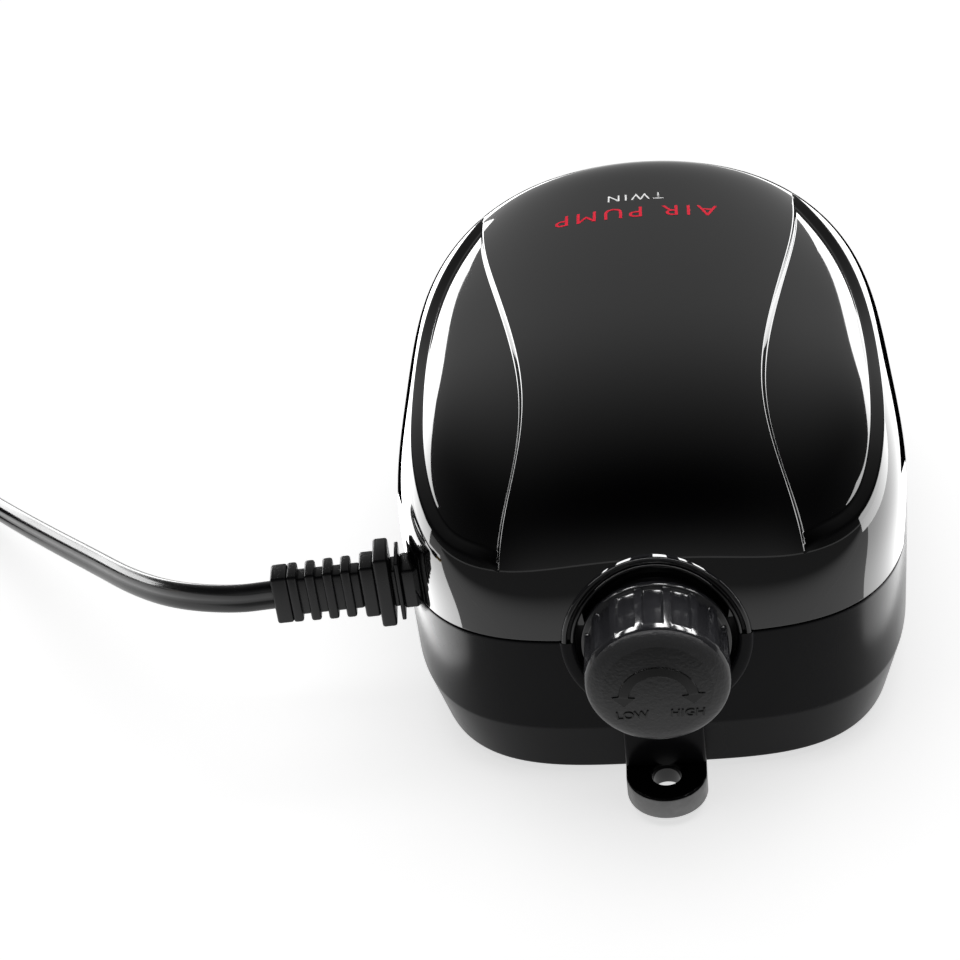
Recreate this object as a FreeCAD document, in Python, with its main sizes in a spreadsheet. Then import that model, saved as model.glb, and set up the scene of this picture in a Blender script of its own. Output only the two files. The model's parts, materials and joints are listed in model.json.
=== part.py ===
import FreeCAD, Part
import math
import os
import re
import Sketcher
from FreeCAD import Placement, Rotation, Vector

# Aquarium air pump: a domed two-part case with a dial on the front, a hanging tab,
# two air outlets at the rear and a flat mains cord. Inside, a coil shakes two hinged
# arms, and each arm works a rubber diaphragm over its own pump head.
# Frame: +Z up, the front (dial) faces -Y, origin on the floor under the case's middle.

DIMENSIONS = (
    ("case_half_width", 50.0, "half of the case's width at the seam"),
    ("case_half_length", 66.0, "half of the case's length at the seam"),
    ("outline_power", 3.72, "squareness of the case's plan outline"),
    ("seam_height", 35.4, "height of the seam between cover and base"),
    ("crown_height", 70.5, "top of the cover"),
    ("front_power", 3.23, "squareness of the cover's profile towards the front"),
    ("rear_power", 20.0, "squareness of the cover's profile towards the rear"),
    ("arch_power", 3.6, "squareness of the cover's cross-section"),
    ("cover_wall", 3.2, "cover wall thickness"),
    ("leaf_depth", 1.8, "depth of the two leaf-shaped facets"),
    ("base_bottom", 2.0, "underside of the base above the floor"),
    ("step_height", 14.2, "height where the base's skirt begins"),
    ("step_inset", 0.3, "inset of the base at the top of its skirt"),
    ("skirt_inset", 3.2, "inset of the base at its bottom edge"),
    ("base_wall", 2.5, "base wall thickness"),
    ("floor_top", 4.5, "inner face of the base's floor"),
    ("dial_height", 34.5, "height of the dial's axis"),
    ("collar_radius", 17.5, "outer radius of the collar round the dial"),
    ("collar_bore", 14.7, "inner radius of the collar"),
    ("collar_front", 66.2, "where the collar's leaning front crosses the dial axis"),
    ("collar_lean", 3.4, "lean of the collar's front from vertical, degrees"),
    ("recess_back", 61.0, "back face of the dial's recess"),
    ("recess_wall", 2.5, "thickness behind the recess"),
    ("tab_half_width", 7.6, "half of the hanging tab's width"),
    ("tab_centre", 70.8, "centre of the tab's round end"),
    ("tab_thick", 4.8, "thickness of the hanging tab"),
    ("tab_hole", 2.75, "radius of the tab's hole"),
    ("web_front", 68.4, "front face of the web above the tab"),
    ("knob_radius", 13.2, "radius over the knob's ribs"),
    ("knob_panel", 12.5, "radius of the knob between its ribs"),
    ("knob_rim", 13.7, "radius of the knob's back rim"),
    ("knob_back", 61.8, "back end of the knob"),
    ("rim_back", 65.6, "back face of the knob's rim"),
    ("rim_front", 66.8, "front face of the knob's rim"),
    ("shoulder_front", 77.6, "front end of the knob's ribs"),
    ("knob_front", 80.5, "front of the knob's domed face"),
    ("rib_width", 1.5, "width of a knob rib"),
    ("rib_count", 16, "ribs round the knob"),
    ("shaft_radius", 3.0, "radius of the control's shaft"),
    ("shaft_clearance", 0.05, "running clearance round the shaft"),
    ("shaft_front", 72.5, "front end of the control's shaft"),
    ("control_back", 48.4, "back face of the rotary control"),
    ("control_front", 57.6, "front face of the rotary control"),
    ("control_width", 16.0, "width of the rotary control's body"),
    ("bushing_radius", 4.0, "radius of the control's bushing"),
    ("board_thick", 1.6, "circuit board thickness"),
    ("board_width", 46.0, "circuit board width"),
    ("board_low", 9.5, "lower edge of the circuit board"),
    ("board_high", 47.0, "upper edge of the circuit board"),
    ("chassis_width", 76.0, "width of the chassis plate"),
    ("chassis_front", 38.0, "front edge of the chassis plate"),
    ("chassis_rear", 38.0, "rear edge of the chassis plate"),
    ("tail_width", 56.0, "width of the chassis plate's tail"),
    ("tail_rear", 50.0, "rear edge of the chassis plate's tail"),
    ("chassis_low", 9.0, "underside of the chassis plate"),
    ("chassis_top", 12.0, "top of the chassis plate"),
    ("mount_radius", 5.0, "radius of a rubber vibration mount"),
    ("mount_offset_x", 21.0, "vibration mounts from the middle, sideways"),
    ("mount_offset_front", 32.0, "front vibration mounts from the middle"),
    ("mount_offset_rear", 43.0, "rear vibration mounts from the middle"),
    ("core_middle", -20.0, "middle of the core along the pump"),
    ("core_stack", 18.0, "thickness of the lamination stack"),
    ("core_half_width", 22.0, "half of the core's width"),
    ("core_top", 36.0, "top of the core's legs"),
    ("yoke_top", 20.0, "top of the core's yoke"),
    ("leg_inner", 14.0, "inner face of an outer leg"),
    ("leg_centre", 6.0, "half of the centre leg's width"),
    ("bobbin_gap", 0.3, "gap between bobbin and core"),
    ("bobbin_wall", 1.1, "bobbin tube wall"),
    ("bobbin_flange", 1.2, "bobbin flange thickness"),
    ("bobbin_reach", 6.3, "bobbin flange width beyond its tube"),
    ("bobbin_low", 20.3, "underside of the bobbin"),
    ("bobbin_high", 35.3, "top of the bobbin"),
    ("winding_thick", 5.4, "thickness of the copper winding"),
    ("side_offset", 19.0, "arms, heads and outlets from the middle"),
    ("arm_width", 10.0, "width of an arm"),
    ("arm_low", 42.9, "underside of an arm"),
    ("arm_thick", 3.5, "thickness of an arm"),
    ("arm_front", -28.0, "front end of an arm"),
    ("pivot_y", 42.0, "arm pivot along the pump"),
    ("pivot_z", 44.65, "height of the arm pivot"),
    ("knuckle_radius", 4.2, "radius of an arm's knuckle"),
    ("pin_radius", 1.5, "radius of a pivot pin"),
    ("pin_clearance", 0.06, "running clearance round a pivot pin"),
    ("ear_gap", 0.8, "gap between an arm and a bracket ear"),
    ("ear_thick", 2.0, "thickness of a bracket ear"),
    ("ear_depth", 8.0, "depth of a bracket ear"),
    ("ear_top", 49.0, "top of a bracket ear"),
    ("bracket_foot", 2.0, "thickness of a bracket's foot"),
    ("magnet_width", 14.0, "width of a magnet"),
    ("magnet_length", 14.0, "length of a magnet"),
    ("magnet_thick", 5.0, "thickness of a magnet"),
    ("head_middle", 14.0, "middle of a pump head along the pump"),
    ("head_size", 31.0, "side of a pump head"),
    ("manifold_top", 25.2, "top of the manifold block"),
    ("plenum_floor", 15.0, "floor of the manifold's plenums"),
    ("plenum_width", 11.0, "width of a plenum"),
    ("plenum_length", 20.0, "length of a plenum"),
    ("port_offset", 7.0, "ports from the head's middle"),
    ("port_radius", 1.4, "radius of a port"),
    ("flap_radius", 3.4, "radius of a valve flap"),
    ("flap_thick", 0.7, "thickness of a valve flap"),
    ("gasket_top", 26.0, "top of the head gasket"),
    ("plate_top", 30.0, "top of the valve plate"),
    ("cylinder_floor", 27.5, "floor of the pumping chamber"),
    ("cylinder_radius", 11.5, "radius of the pumping chamber"),
    ("rim_radius", 14.0, "radius of a diaphragm's rim"),
    ("rim_top", 31.6, "top of a diaphragm's rim"),
    ("diaphragm_top", 36.4, "top of a diaphragm"),
    ("diaphragm_wall", 1.3, "diaphragm wall thickness"),
    ("crown_radius", 7.5, "radius of a diaphragm's flat crown"),
    ("retainer_top", 33.6, "top of the retaining plate"),
    ("retainer_bore", 12.6, "radius of the hole in the retaining plate"),
    ("clamp_radius", 6.5, "radius of a diaphragm clamp"),
    ("clamp_thick", 1.2, "thickness of a diaphragm clamp"),
    ("stem_radius", 3.2, "radius of a clamp's stem"),
    ("screw_radius", 1.2, "radius of a small screw"),
    ("screw_head", 2.2, "radius of a small screw's head"),
    ("screw_gap", 0.05, "clearance round a screw"),
    ("screw_pitch", 12.8, "head screws from the head's middle"),
    ("outlet_height", 20.0, "height of the air outlets"),
    ("spigot_radius", 2.4, "outer radius of a spigot for air line"),
    ("spigot_bore", 1.5, "bore of a spigot"),
    ("spigot_length", 6.0, "length of a manifold's spigot"),
    ("tube_radius", 3.6, "outer radius of the inner air tube"),
    ("tube_rear", 59.8, "rear end of the inner air tube"),
    ("nozzle_inner", 54.0, "inner end of an outlet nozzle"),
    ("nozzle_flange", 60.2, "inner face of a nozzle's flange"),
    ("nozzle_wall_side", 61.7, "outer face of a nozzle's flange"),
    ("nozzle_collar", 68.5, "outer end of a nozzle's collar"),
    ("nozzle_tip", 80.5, "outer end of a nozzle"),
    ("nozzle_hole", 3.4, "radius of the wall hole for a nozzle"),
    ("foot_radius", 5.0, "radius of a rubber foot"),
    ("foot_sink", 1.0, "depth that a foot is set into the base"),
    ("foot_offset_x", 24.0, "feet from the middle, sideways"),
    ("foot_offset_y", 52.0, "feet from the middle, lengthways"),
    ("boss_radius", 3.8, "radius of a screw boss"),
    ("boss_offset_x", 34.0, "case screws from the middle, sideways"),
    ("boss_offset_y", 45.0, "case screws from the middle, lengthways"),
    ("boss_top", 42.0, "top of the cover's screw bosses"),
    ("case_screw", 1.5, "radius of a case screw"),
    ("case_screw_head", 3.0, "radius of a case screw's head"),
    ("case_screw_seat", 5.5, "height of the case screws' seat"),
    ("filter_radius", 9.0, "radius of the felt filter"),
    ("filter_plate", 10.8, "radius of the filter's cover"),
    ("filter_seat", 2.9, "height of the filter cover's seat"),
    ("slot_width", 1.8, "width of an intake slot"),
    ("relief_x", -46.7, "where the cord's centre line crosses the wall"),
    ("relief_y", -43.9, "where the cord's centre line crosses the wall"),
    ("relief_turn", 184.5, "direction of the strain relief, degrees"),
    ("relief_length", 26.6, "strain relief from the wall to its end"),
    ("window_length", 16.0, "reach of the strain relief's window, through the wall"),
    ("window_width", 6.4, "width of the strain relief's window"),
    ("window_height", 9.0, "height of the strain relief's window"),
    ("cord_width", 6.0, "width of the flat cord"),
    ("coil_centre_x", -204.0, "middle of the coiled cord"),
    ("coil_centre_y", 32.0, "middle of the coiled cord"),
    ("coil_entry", 40.5, "where the cord meets the coil, degrees from +X"),
    ("coil_outer", 42.0, "outer radius of the coil"),
    ("coil_inner", 24.0, "inner radius of the coil"),
    ("coil_height", 12.4, "height of the coil"),
    ("plug_length", 21.0, "length of the plug's body"),
    ("plug_width", 22.0, "width of the plug's body"),
    ("plug_height", 13.0, "height of the plug's body"),
    ("plug_neck", 13.0, "length of the plug's neck"),
    ("blade_length", 17.5, "length of a plug blade"),
    ("blade_width", 6.35, "width of a plug blade"),
    ("blade_thick", 1.5, "thickness of a plug blade"),
    ("blade_offset", 6.35, "blades from the plug's middle"),
)

doc = FreeCAD.newDocument("aquarium_air_pump")
sheet = doc.addObject("Spreadsheet::Sheet", "Dimensions")
for row, (alias, value, note) in enumerate(DIMENSIONS, start=1):
    sheet.set(f"A{row}", alias)
    sheet.set(f"B{row}", str(value))
    sheet.set(f"C{row}", note)
    sheet.setAlias(f"B{row}", alias)
doc.recompute()

ALONG = {
    "Z": Rotation(),
    "X": Rotation(Vector(0, 1, 0), 90),
    "Y": Rotation(Vector(1, 0, 0), -90),
    "-Y": Rotation(Vector(1, 0, 0), 90),
}
SIDES = (("left", -1), ("right", 1))
NODES = {}


# ---------------------------------------------------------------- helpers

def bound(text):
    """A formula in which each name of the sheet is written as the sheet's cell."""
    return re.sub(r"[a-z]+(?:_[a-z]+)+", lambda found: "Dimensions." + found.group(0), str(text))


def mm(text):
    """The present value of a formula."""
    return float(sheet.evalExpression(bound(text)))


def bind(item, **formulas):
    for name, text in formulas.items():
        item.setExpression(name, bound(text))
    return item


def place(item, x="0", y="0", z="0", turn=None):
    """Put an object at a point whose coordinates follow the sheet."""
    item.Placement = Placement(Vector(), turn or Rotation())
    for axis, text in zip("xyz", (x, y, z)):
        item.setExpression(f".Placement.Base.{axis}", bound(text))
    return item


def block(name, length, width, height, x="0", y="0", z="0"):
    """A box centred on x and y, standing on z."""
    item = bind(doc.addObject("Part::Box", name), Length=length, Width=width, Height=height)
    return place(item, f"({x}) - ({length}) / 2", f"({y}) - ({width}) / 2", z)


def rod(name, radius, height, x="0", y="0", z="0", along="Z"):
    item = bind(doc.addObject("Part::Cylinder", name), Radius=radius, Height=height)
    return place(item, x, y, z, ALONG[along])


def solid_shape(name, shape):
    """An object for a form that only a formula or a sweep describes."""
    item = doc.addObject("Part::Feature", name)
    item.Shape = shape
    return item


def fuse(name, *items):
    item = doc.addObject("Part::MultiFuse", name)
    item.Shapes = list(items)
    return item


def cut(name, base, *tools):
    item = doc.addObject("Part::Cut", name)
    item.Base = base
    item.Tool = tools[0] if len(tools) == 1 else fuse(name + "_tools", *tools)
    return item


def common(name, first, second):
    item = doc.addObject("Part::Common", name)
    item.Base = first
    item.Tool = second
    return item


def group(name, items):
    """Identical separate solids that share one node."""
    item = doc.addObject("Part::Compound", name)
    item.Links = list(items)
    return item


def node(name, item):
    item.Label = name
    NODES[name] = item
    return item


def new_body(name):
    return doc.addObject("PartDesign::Body", name)


def sketch_on(body, name, role):
    """A sketch on one of the body's own origin planes."""
    plane = next(part for part in body.Origin.OriginFeatures if part.Role == role)
    sketch = body.newObject("Sketcher::SketchObject", name)
    sketch.AttachmentSupport = [(plane, "")]
    sketch.MapMode = "FlatFace"
    return sketch


def hold(sketch, geometry, point, across, up):
    """Fix a point of the sketch at coordinates that follow the sheet."""
    for kind, text, axis in (("DistanceX", across, -2), ("DistanceY", up, -1)):
        value = mm(text)
        if abs(value) < 1e-9:
            sketch.addConstraint(Sketcher.Constraint("PointOnObject", geometry, point, axis))
        else:
            index = sketch.addConstraint(Sketcher.Constraint(kind, -1, 1, geometry, point, value))
            sketch.setExpression(f"Constraints[{index}]", bound(text))


def outline(sketch, corners):
    """A closed outline of straight sides through corners given as formulas."""
    points = [Vector(mm(across), mm(up), 0) for across, up in corners]
    for index, point in enumerate(points):
        sketch.addGeometry(Part.LineSegment(point, points[(index + 1) % len(points)]))
    for index in range(len(points)):
        following = (index + 1) % len(points)
        sketch.addConstraint(Sketcher.Constraint("Coincident", index, 2, following, 1))
    for index, (across, up) in enumerate(corners):
        hold(sketch, index, 1, across, up)


def pad(body, name, sketch, length, both_ways=False):
    feature = body.newObject("PartDesign::Pad", name)
    feature.Profile = sketch
    feature.Midplane = both_ways
    return bind(feature, Length=length)


def revolve(body, name, sketch, axis="V_Axis"):
    feature = body.newObject("PartDesign::Revolution", name)
    feature.Profile = sketch
    feature.ReferenceAxis = (sketch, [axis])
    feature.Angle = 360
    return feature


# ---------------------------------------------------------------- case outlines

def outline_wire(inset, height):
    """The case's plan outline, drawn in by inset, at a height."""
    half_width = mm("case_half_width") - inset
    half_length = mm("case_half_length") - inset
    power = mm("outline_power")
    steps = 32
    points = []
    for step in range(steps):
        angle = 2 * math.pi * step / steps
        side = math.cos(angle)
        along = math.sin(angle)
        reach = (abs(side / half_width) ** power + abs(along / half_length) ** power) ** (-1 / power)
        points.append(Vector(reach * side, reach * along, height))
    curve = Part.BSplineCurve()
    curve.interpolate(Points=points, PeriodicFlag=True)
    return Part.Wire([curve.toShape()])


def skin_between(name, *levels):
    """A solid through plan outlines, each given as (inset, height)."""
    wires = [outline_wire(inset, height) for inset, height in levels]
    return solid_shape(name, Part.makeLoft(wires, True, True))


def half_width_at(along, inset):
    half_length = mm("case_half_length") - inset
    share = abs(along) / half_length
    reach = max(1 - share ** mm("outline_power"), 0)
    return (mm("case_half_width") - inset) * reach ** (1 / mm("outline_power"))


def crest_at(along, inset):
    """Height of the cover's centre line above the seam."""
    half_length = mm("case_half_length") - inset
    share = abs(along) / half_length
    power = mm("front_power") if along < 0 else mm("rear_power")
    rise = mm("crown_height") - inset - mm("seam_height")
    return rise * max(1 - share ** power, 0) ** (1 / mm("arch_power"))


def arch_wire(along, inset, bottom):
    """The cover's cross-section at a station along the pump."""
    half_width = half_width_at(along, inset)
    crest = crest_at(along, inset)
    seam = mm("seam_height")
    power = 2 / mm("arch_power")
    steps = 12
    points = []
    for step in range(steps + 1):
        angle = math.pi / 2 * (1 - math.cos(math.pi * step / steps))
        points.append(Vector(half_width * math.cos(angle), along, seam + crest * math.sin(angle) ** power))
    curve = Part.BSplineCurve()
    curve.interpolate(Points=points)
    low_right = Vector(half_width, along, bottom)
    low_left = Vector(-half_width, along, bottom)
    edges = [curve.toShape(), Part.makeLine(points[-1], low_left)]
    edges += [Part.makeLine(low_left, low_right), Part.makeLine(low_right, points[0])]
    return Part.Wire(edges)


def dome(name, inset, bottom):
    """The cover's solid form, drawn in by inset and reaching down to bottom."""
    half_length = mm("case_half_length") - inset
    wires = []
    for degrees in range(-84, 85, 7):
        angle = math.radians(degrees)
        share = math.copysign(abs(math.sin(angle)) ** (2 / mm("outline_power")), angle)
        wires.append(arch_wire(share * half_length, inset, bottom))
    return solid_shape(name, Part.makeLoft(wires, True, False))


# ---------------------------------------------------------------- case

LEAF_OUTER = ((36.9, -56.2), (43.5, -40.0), (45.8, -18.0), (46.3, 6.0), (42.3, 32.0))
LEAF_INNER = ((33.2, 37.0), (29.3, 13.0), (24.4, -13.0), (22.3, -36.0), (24.0, -51.0))
LEAF_FRONT_TIP = (27.4, -61.9)
LEAF_REAR_TIP = (33.9, 51.5)


def leaf_prism(name, side):
    """A tall prism on the plan outline of one leaf-shaped facet."""
    low = mm("seam_height") - 2
    edges = []
    for run in ((LEAF_FRONT_TIP, *LEAF_OUTER, LEAF_REAR_TIP), (LEAF_REAR_TIP, *LEAF_INNER, LEAF_FRONT_TIP)):
        curve = Part.BSplineCurve()
        curve.interpolate(Points=[Vector(side * across, along, low) for across, along in run])
        edges.append(curve.toShape())
    face = Part.Face(Part.Wire(edges))
    return solid_shape(name, face.extrude(Vector(0, 0, mm("crown_height"))))


def leaning_half_space(name):
    """Everything in front of the collar's leaning front."""
    item = doc.addObject("Part::Box", name)
    bind(item, Length="4 * collar_radius", Width="2 * collar_radius", Height="6 * collar_radius")
    lean = mm("collar_lean")
    item.Placement = Placement(Vector(), Rotation(Vector(1, 0, 0), -lean))
    corner = item.Placement.Rotation.multVec(
        Vector(-2 * mm("collar_radius"), -2 * mm("collar_radius"), -3 * mm("collar_radius")))
    item.Placement.Base = corner + Vector(0, -mm("collar_front"), mm("dial_height"))
    return item


def collar_ring(name):
    """The stepped collar round the dial, before it is split at the seam."""
    outer = rod(name + "_outer", "collar_radius", "collar_radius", "0", "-recess_back + recess_wall",
                "dial_height", "-Y")
    groove = cut(
        name + "_groove",
        rod(name + "_groove_outer", "collar_radius - 1", "collar_radius", "0",
            "-collar_front - collar_radius + 1.3", "dial_height", "Y"),
        rod(name + "_groove_inner", "collar_radius - 1.6", "collar_radius", "0",
            "-collar_front - collar_radius + 1.3", "dial_height", "Y"))
    return cut(name, outer, groove, leaning_half_space(name + "_lean"))


def below_seam(name):
    return block(name, "3 * case_half_width", "4 * case_half_length", "seam_height", "0", "0", "0")


def above_seam(name):
    return block(name, "3 * case_half_width", "4 * case_half_length", "2 * crown_height", "0", "0", "seam_height")


def dial_recess(name):
    """The round recess that the knob sits in, with the hole for the control's bushing."""
    bore = rod(name + "_bore", "collar_bore", "2 * collar_radius", "0", "-recess_back", "dial_height", "-Y")
    hole = rod(name + "_hole", "bushing_radius + screw_gap", "10", "0", "-recess_back + 8", "dial_height", "-Y")
    return fuse(name, bore, hole)


def relief_window(name):
    """The rectangular window in the wall for the neck of the strain relief."""
    item = bind(doc.addObject("Part::Box", name), Length="window_length", Width="window_width",
                Height="window_height")
    turn = Rotation(Vector(0, 0, 1), mm("relief_turn"))
    offset = turn.multVec(Vector(-mm("window_length") / 2, -mm("window_width") / 2, 0))
    return place(item, f"relief_x + {offset.x:.4f}", f"relief_y + {offset.y:.4f}",
                 "seam_height - window_height / 2", turn)


def corner_places(offset_x, offset_front, offset_rear=None):
    """The four corners of a rectangle about the pump's middle, as (name, x, y)."""
    rear = offset_rear or offset_front
    return [
        ("front_left", f"-{offset_x}", f"-{offset_front}"), ("front_right", offset_x, f"-{offset_front}"),
        ("rear_left", f"-{offset_x}", rear), ("rear_right", offset_x, rear),
    ]


def build_cover():
    outside = dome("cover_outside", 0, mm("seam_height") - 4)
    inside = dome("cover_inside", mm("cover_wall"), mm("seam_height") - 6)
    facet_floor = dome("facet_floor", mm("leaf_depth"), mm("seam_height") - 6)
    inner_floor = dome("inner_floor", mm("cover_wall") + mm("leaf_depth"), mm("seam_height") - 8)
    facets = cut("facet_cut", fuse("facet_prisms", *[leaf_prism("leaf_" + name, sign) for name, sign in SIDES]),
                 facet_floor)
    under = cut("under_facets", fuse("under_prisms", *[leaf_prism("under_" + name, sign) for name, sign in SIDES]),
                inner_floor)
    cavity = cut("cover_cavity", inside, under)
    recess_shell = rod("cover_recess_shell", "collar_radius", "20", "0", "-recess_back + recess_wall",
                       "dial_height", "-Y")
    shell = fuse(
        "cover_walls",
        cut("cover_hollow", outside, cavity, facets),
        common("cover_recess_wall", recess_shell, dome("cover_outside_copy", 0.01, mm("seam_height") - 4)),
        collar_ring("cover_collar"))
    pillars = [rod("cover_boss_" + name, "boss_radius", "crown_height", x, y, "seam_height")
               for name, x, y in corner_places("boss_offset_x", "boss_offset_y")]
    bosses = common("cover_bosses", fuse("cover_pillars", *pillars),
                    dome("boss_limit", mm("cover_wall") * 0.75, mm("seam_height") - 4))
    pilots = [rod("cover_pilot_" + name, "case_screw", "boss_top - seam_height - 1.5", x, y, "seam_height")
              for name, x, y in corner_places("boss_offset_x", "boss_offset_y")]
    return node("top_cover", cut("top_cover", fuse("cover_with_bosses", shell, bosses), *pilots,
                                 below_seam("cover_below"), dial_recess("cover_recess"),
                                 relief_window("cover_window")))


def build_base():
    wall = mm("base_wall")
    outside = skin_between("base_outside", (mm("skirt_inset"), mm("base_bottom")),
                           (mm("step_inset"), mm("step_height")), (0, mm("seam_height")))
    inside = skin_between("base_inside", (wall + mm("skirt_inset"), mm("floor_top")),
                          (wall + mm("step_inset"), mm("step_height")), (wall, mm("seam_height") + 0.01))
    recess_shell = rod("base_recess_shell", "collar_radius", "collar_front - recess_back + recess_wall", "0",
                       "-recess_back + recess_wall", "dial_height", "-Y")
    dial_seat = cut("base_dial_seat", fuse("base_dial_solid", recess_shell, collar_ring("base_collar")),
                    above_seam("base_above"))
    web = block("tab_web", "2 * tab_half_width", "web_front - collar_front + 3", "dial_height - collar_bore",
                "0", "-(web_front + collar_front - 3) / 2", "base_bottom")
    tab_end = rod("tab_end", "tab_half_width", "tab_thick", "0", "-tab_centre", "base_bottom")
    tab_plate = block("tab_plate", "2 * tab_half_width", "tab_centre - collar_front + 3", "tab_thick", "0",
                      "-(tab_centre + collar_front - 3) / 2", "base_bottom")
    corners = corner_places("boss_offset_x", "boss_offset_y")
    bosses = [rod("base_boss_" + name, "boss_radius", "seam_height - base_bottom - 1", x, y, "base_bottom + 1")
              for name, x, y in corners]
    solid = fuse("base_solid", cut("base_hollow", outside, inside), dial_seat, web, tab_end, tab_plate, *bosses)
    tools = [dial_recess("base_recess"), relief_window("base_window"),
             rod("tab_hole_cut", "tab_hole", "3 * tab_thick", "0", "-tab_centre - 0.4", "base_bottom - tab_thick"),
             rod("filter_seat_cut", "filter_plate", "filter_seat - base_bottom + 1", "0", "0", "base_bottom - 1"),
             rod("filter_hole_cut", "filter_radius", "floor_top", "0", "0", "base_bottom")]
    for name, x, y in corners:
        tools.append(rod("screw_hole_" + name, "case_screw + screw_gap", "seam_height", x, y, "base_bottom - 1"))
        tools.append(rod("screw_seat_" + name, "case_screw_head + 0.3", "case_screw_seat - base_bottom + 1",
                         x, y, "base_bottom - 1"))
    for name, x, y in corner_places("foot_offset_x", "foot_offset_y"):
        tools.append(rod("foot_seat_" + name, "foot_radius", "foot_sink + 1", x, y, "base_bottom - 1"))
    for name, sign in SIDES:
        tools.append(rod("nozzle_hole_" + name, "nozzle_hole", "20", f"{sign} * side_offset",
                         "case_half_length - 12", "outlet_height", "Y"))
    return node("base_housing", cut("base_housing", solid, *tools))


def build_feet():
    for name, x, y in corner_places("foot_offset_x", "foot_offset_y"):
        body = new_body("foot_" + name)
        sketch = sketch_on(body, "foot_profile_" + name, "XZ_Plane")
        outline(sketch, [("0", "0"), ("foot_radius - 1.2", "0"), ("foot_radius", "1.2"),
                         ("foot_radius", "base_bottom + foot_sink"), ("0", "base_bottom + foot_sink")])
        revolve(body, "foot_turned_" + name, sketch)
        node("foot_" + name, place(body, x, y))


def build_case_screws():
    screws = []
    for name, x, y in corner_places("boss_offset_x", "boss_offset_y"):
        head = rod("case_screw_head_" + name, "case_screw_head", "case_screw_seat - base_bottom - 0.6", x, y,
                   "base_bottom + 0.6")
        slot = block("case_screw_slot_" + name, "1", "4", "1.2", x, y, "base_bottom")
        shank = rod("case_screw_shank_" + name, "case_screw", "boss_top - case_screw_seat - 2", x, y,
                    "case_screw_seat")
        screws.append(fuse("case_screw_" + name, cut("case_screw_cut_" + name, head, slot), shank))
    node("case_screws", group("case_screws", screws))


def build_filter():
    node("felt_filter", rod("felt_filter", "filter_radius - 0.1", "floor_top - filter_seat", "0", "0",
                            "filter_seat"))
    plate = rod("filter_plate_disc", "filter_plate - 0.1", "filter_seat - base_bottom - 0.1", "0", "0",
                "base_bottom + 0.1")
    slots = [block(f"filter_slot_{place_name}", "slot_width", "filter_radius * 1.3", "2", x, "0", "base_bottom - 0.5")
             for place_name, x in (("a", "-2 * slot_width"), ("b", "0"), ("c", "2 * slot_width"))]
    node("filter_cover", cut("filter_cover", plate, *slots))


# ---------------------------------------------------------------- dial and control

def build_knob():
    body = new_body("control_knob")
    profile = sketch_on(body, "knob_profile", "XY_Plane")
    outline(profile, [
        ("0", "-shaft_front"), ("shaft_radius", "-shaft_front"), ("shaft_radius", "-knob_back"),
        ("knob_panel - 1", "-knob_back"), ("knob_panel - 1", "-rim_back"), ("knob_rim", "-rim_back"),
        ("knob_rim", "-rim_front"), ("knob_panel", "-rim_front"), ("knob_panel", "-shoulder_front + 1.2"),
        ("knob_panel + 0.4", "-shoulder_front"), ("knob_panel - 0.4", "-shoulder_front - 1.2"),
        ("knob_panel - 3", "-shoulder_front - 2"), ("knob_panel / 2", "-knob_front + 0.25"),
        ("0", "-knob_front")])
    revolve(body, "knob_turned", profile)
    ribs = sketch_on(body, "rib_profile", "XZ_Plane")
    ribs.setExpression(".AttachmentOffset.Base.z", bound("rim_front - 0.3"))
    outline(ribs, [("-rib_width / 2", "knob_panel - 0.5"), ("rib_width / 2", "knob_panel - 0.5"),
                   ("rib_width / 2", "knob_radius"), ("-rib_width / 2", "knob_radius")])
    rib = pad(body, "knob_rib", ribs, "shoulder_front - rim_front")
    around = body.newObject("PartDesign::PolarPattern", "knob_ribs")
    around.Originals = [rib]
    around.Axis = (next(part for part in body.Origin.OriginFeatures if part.Role == "Y_Axis"), [""])
    around.Angle = 360
    bind(around, Occurrences="rib_count")
    body.Tip = around
    half_pitch = Rotation(Vector(0, 1, 0), 180 / mm("rib_count"))
    node("control_knob", place(body, "0", "0", "dial_height", half_pitch))


def build_control():
    node("control_shaft", rod("control_shaft", "shaft_radius", "shaft_front - control_back - 2", "0",
                              "-control_back - 2", "dial_height", "-Y"))
    case = block("control_case", "control_width", "control_front - control_back", "control_width", "0",
                 "-(control_front + control_back) / 2", "dial_height - control_width / 2")
    bushing = rod("control_bushing", "bushing_radius", "recess_back - control_front - 0.4", "0", "-control_front",
                  "dial_height", "-Y")
    bore = rod("control_bore", "shaft_radius + shaft_clearance", "recess_back - control_back - 2", "0",
               "-control_back - 2", "dial_height", "-Y")
    pins = [block(f"control_pin_{name}", "0.8", "board_thick + 2", "0.8", x,
                  "-control_back + board_thick / 2 + 0.6", "dial_height - control_width / 2 + 1.5")
            for name, x in (("a", "-5"), ("b", "0"), ("c", "5"))]
    node("rotary_control", cut("rotary_control", fuse("control_solid", case, bushing, *pins), bore))


def build_board():
    board = block("board_plate", "board_width", "board_thick", "board_high - board_low", "0",
                  "-control_back + board_thick / 2", "board_low")
    holes = [block(f"board_hole_{name}", "0.9", "4", "0.9", x, "-control_back + board_thick / 2",
                   "dial_height - control_width / 2 + 1.45") for name, x in (("a", "-5"), ("b", "0"), ("c", "5"))]
    node("circuit_board", cut("circuit_board", board, *holes))
    rear = "-control_back + board_thick"
    node("film_capacitor", block("film_capacitor", "13", "6.5", "10", "-13", rear + " + 3.25", "12"))
    tab = block("triac_tab", "10", "1.2", "15", "13", rear + " + 2.6", "12")
    lump = block("triac_body", "10", "3.2", "9", "13", rear + " + 3.6", "12")
    node("triac", fuse("triac", tab, lump))
    node("fuse_resistor", rod("fuse_resistor", "1.8", "9", "-4.5", rear + " + 2.6", "42", "X"))


# ---------------------------------------------------------------- drive

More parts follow.
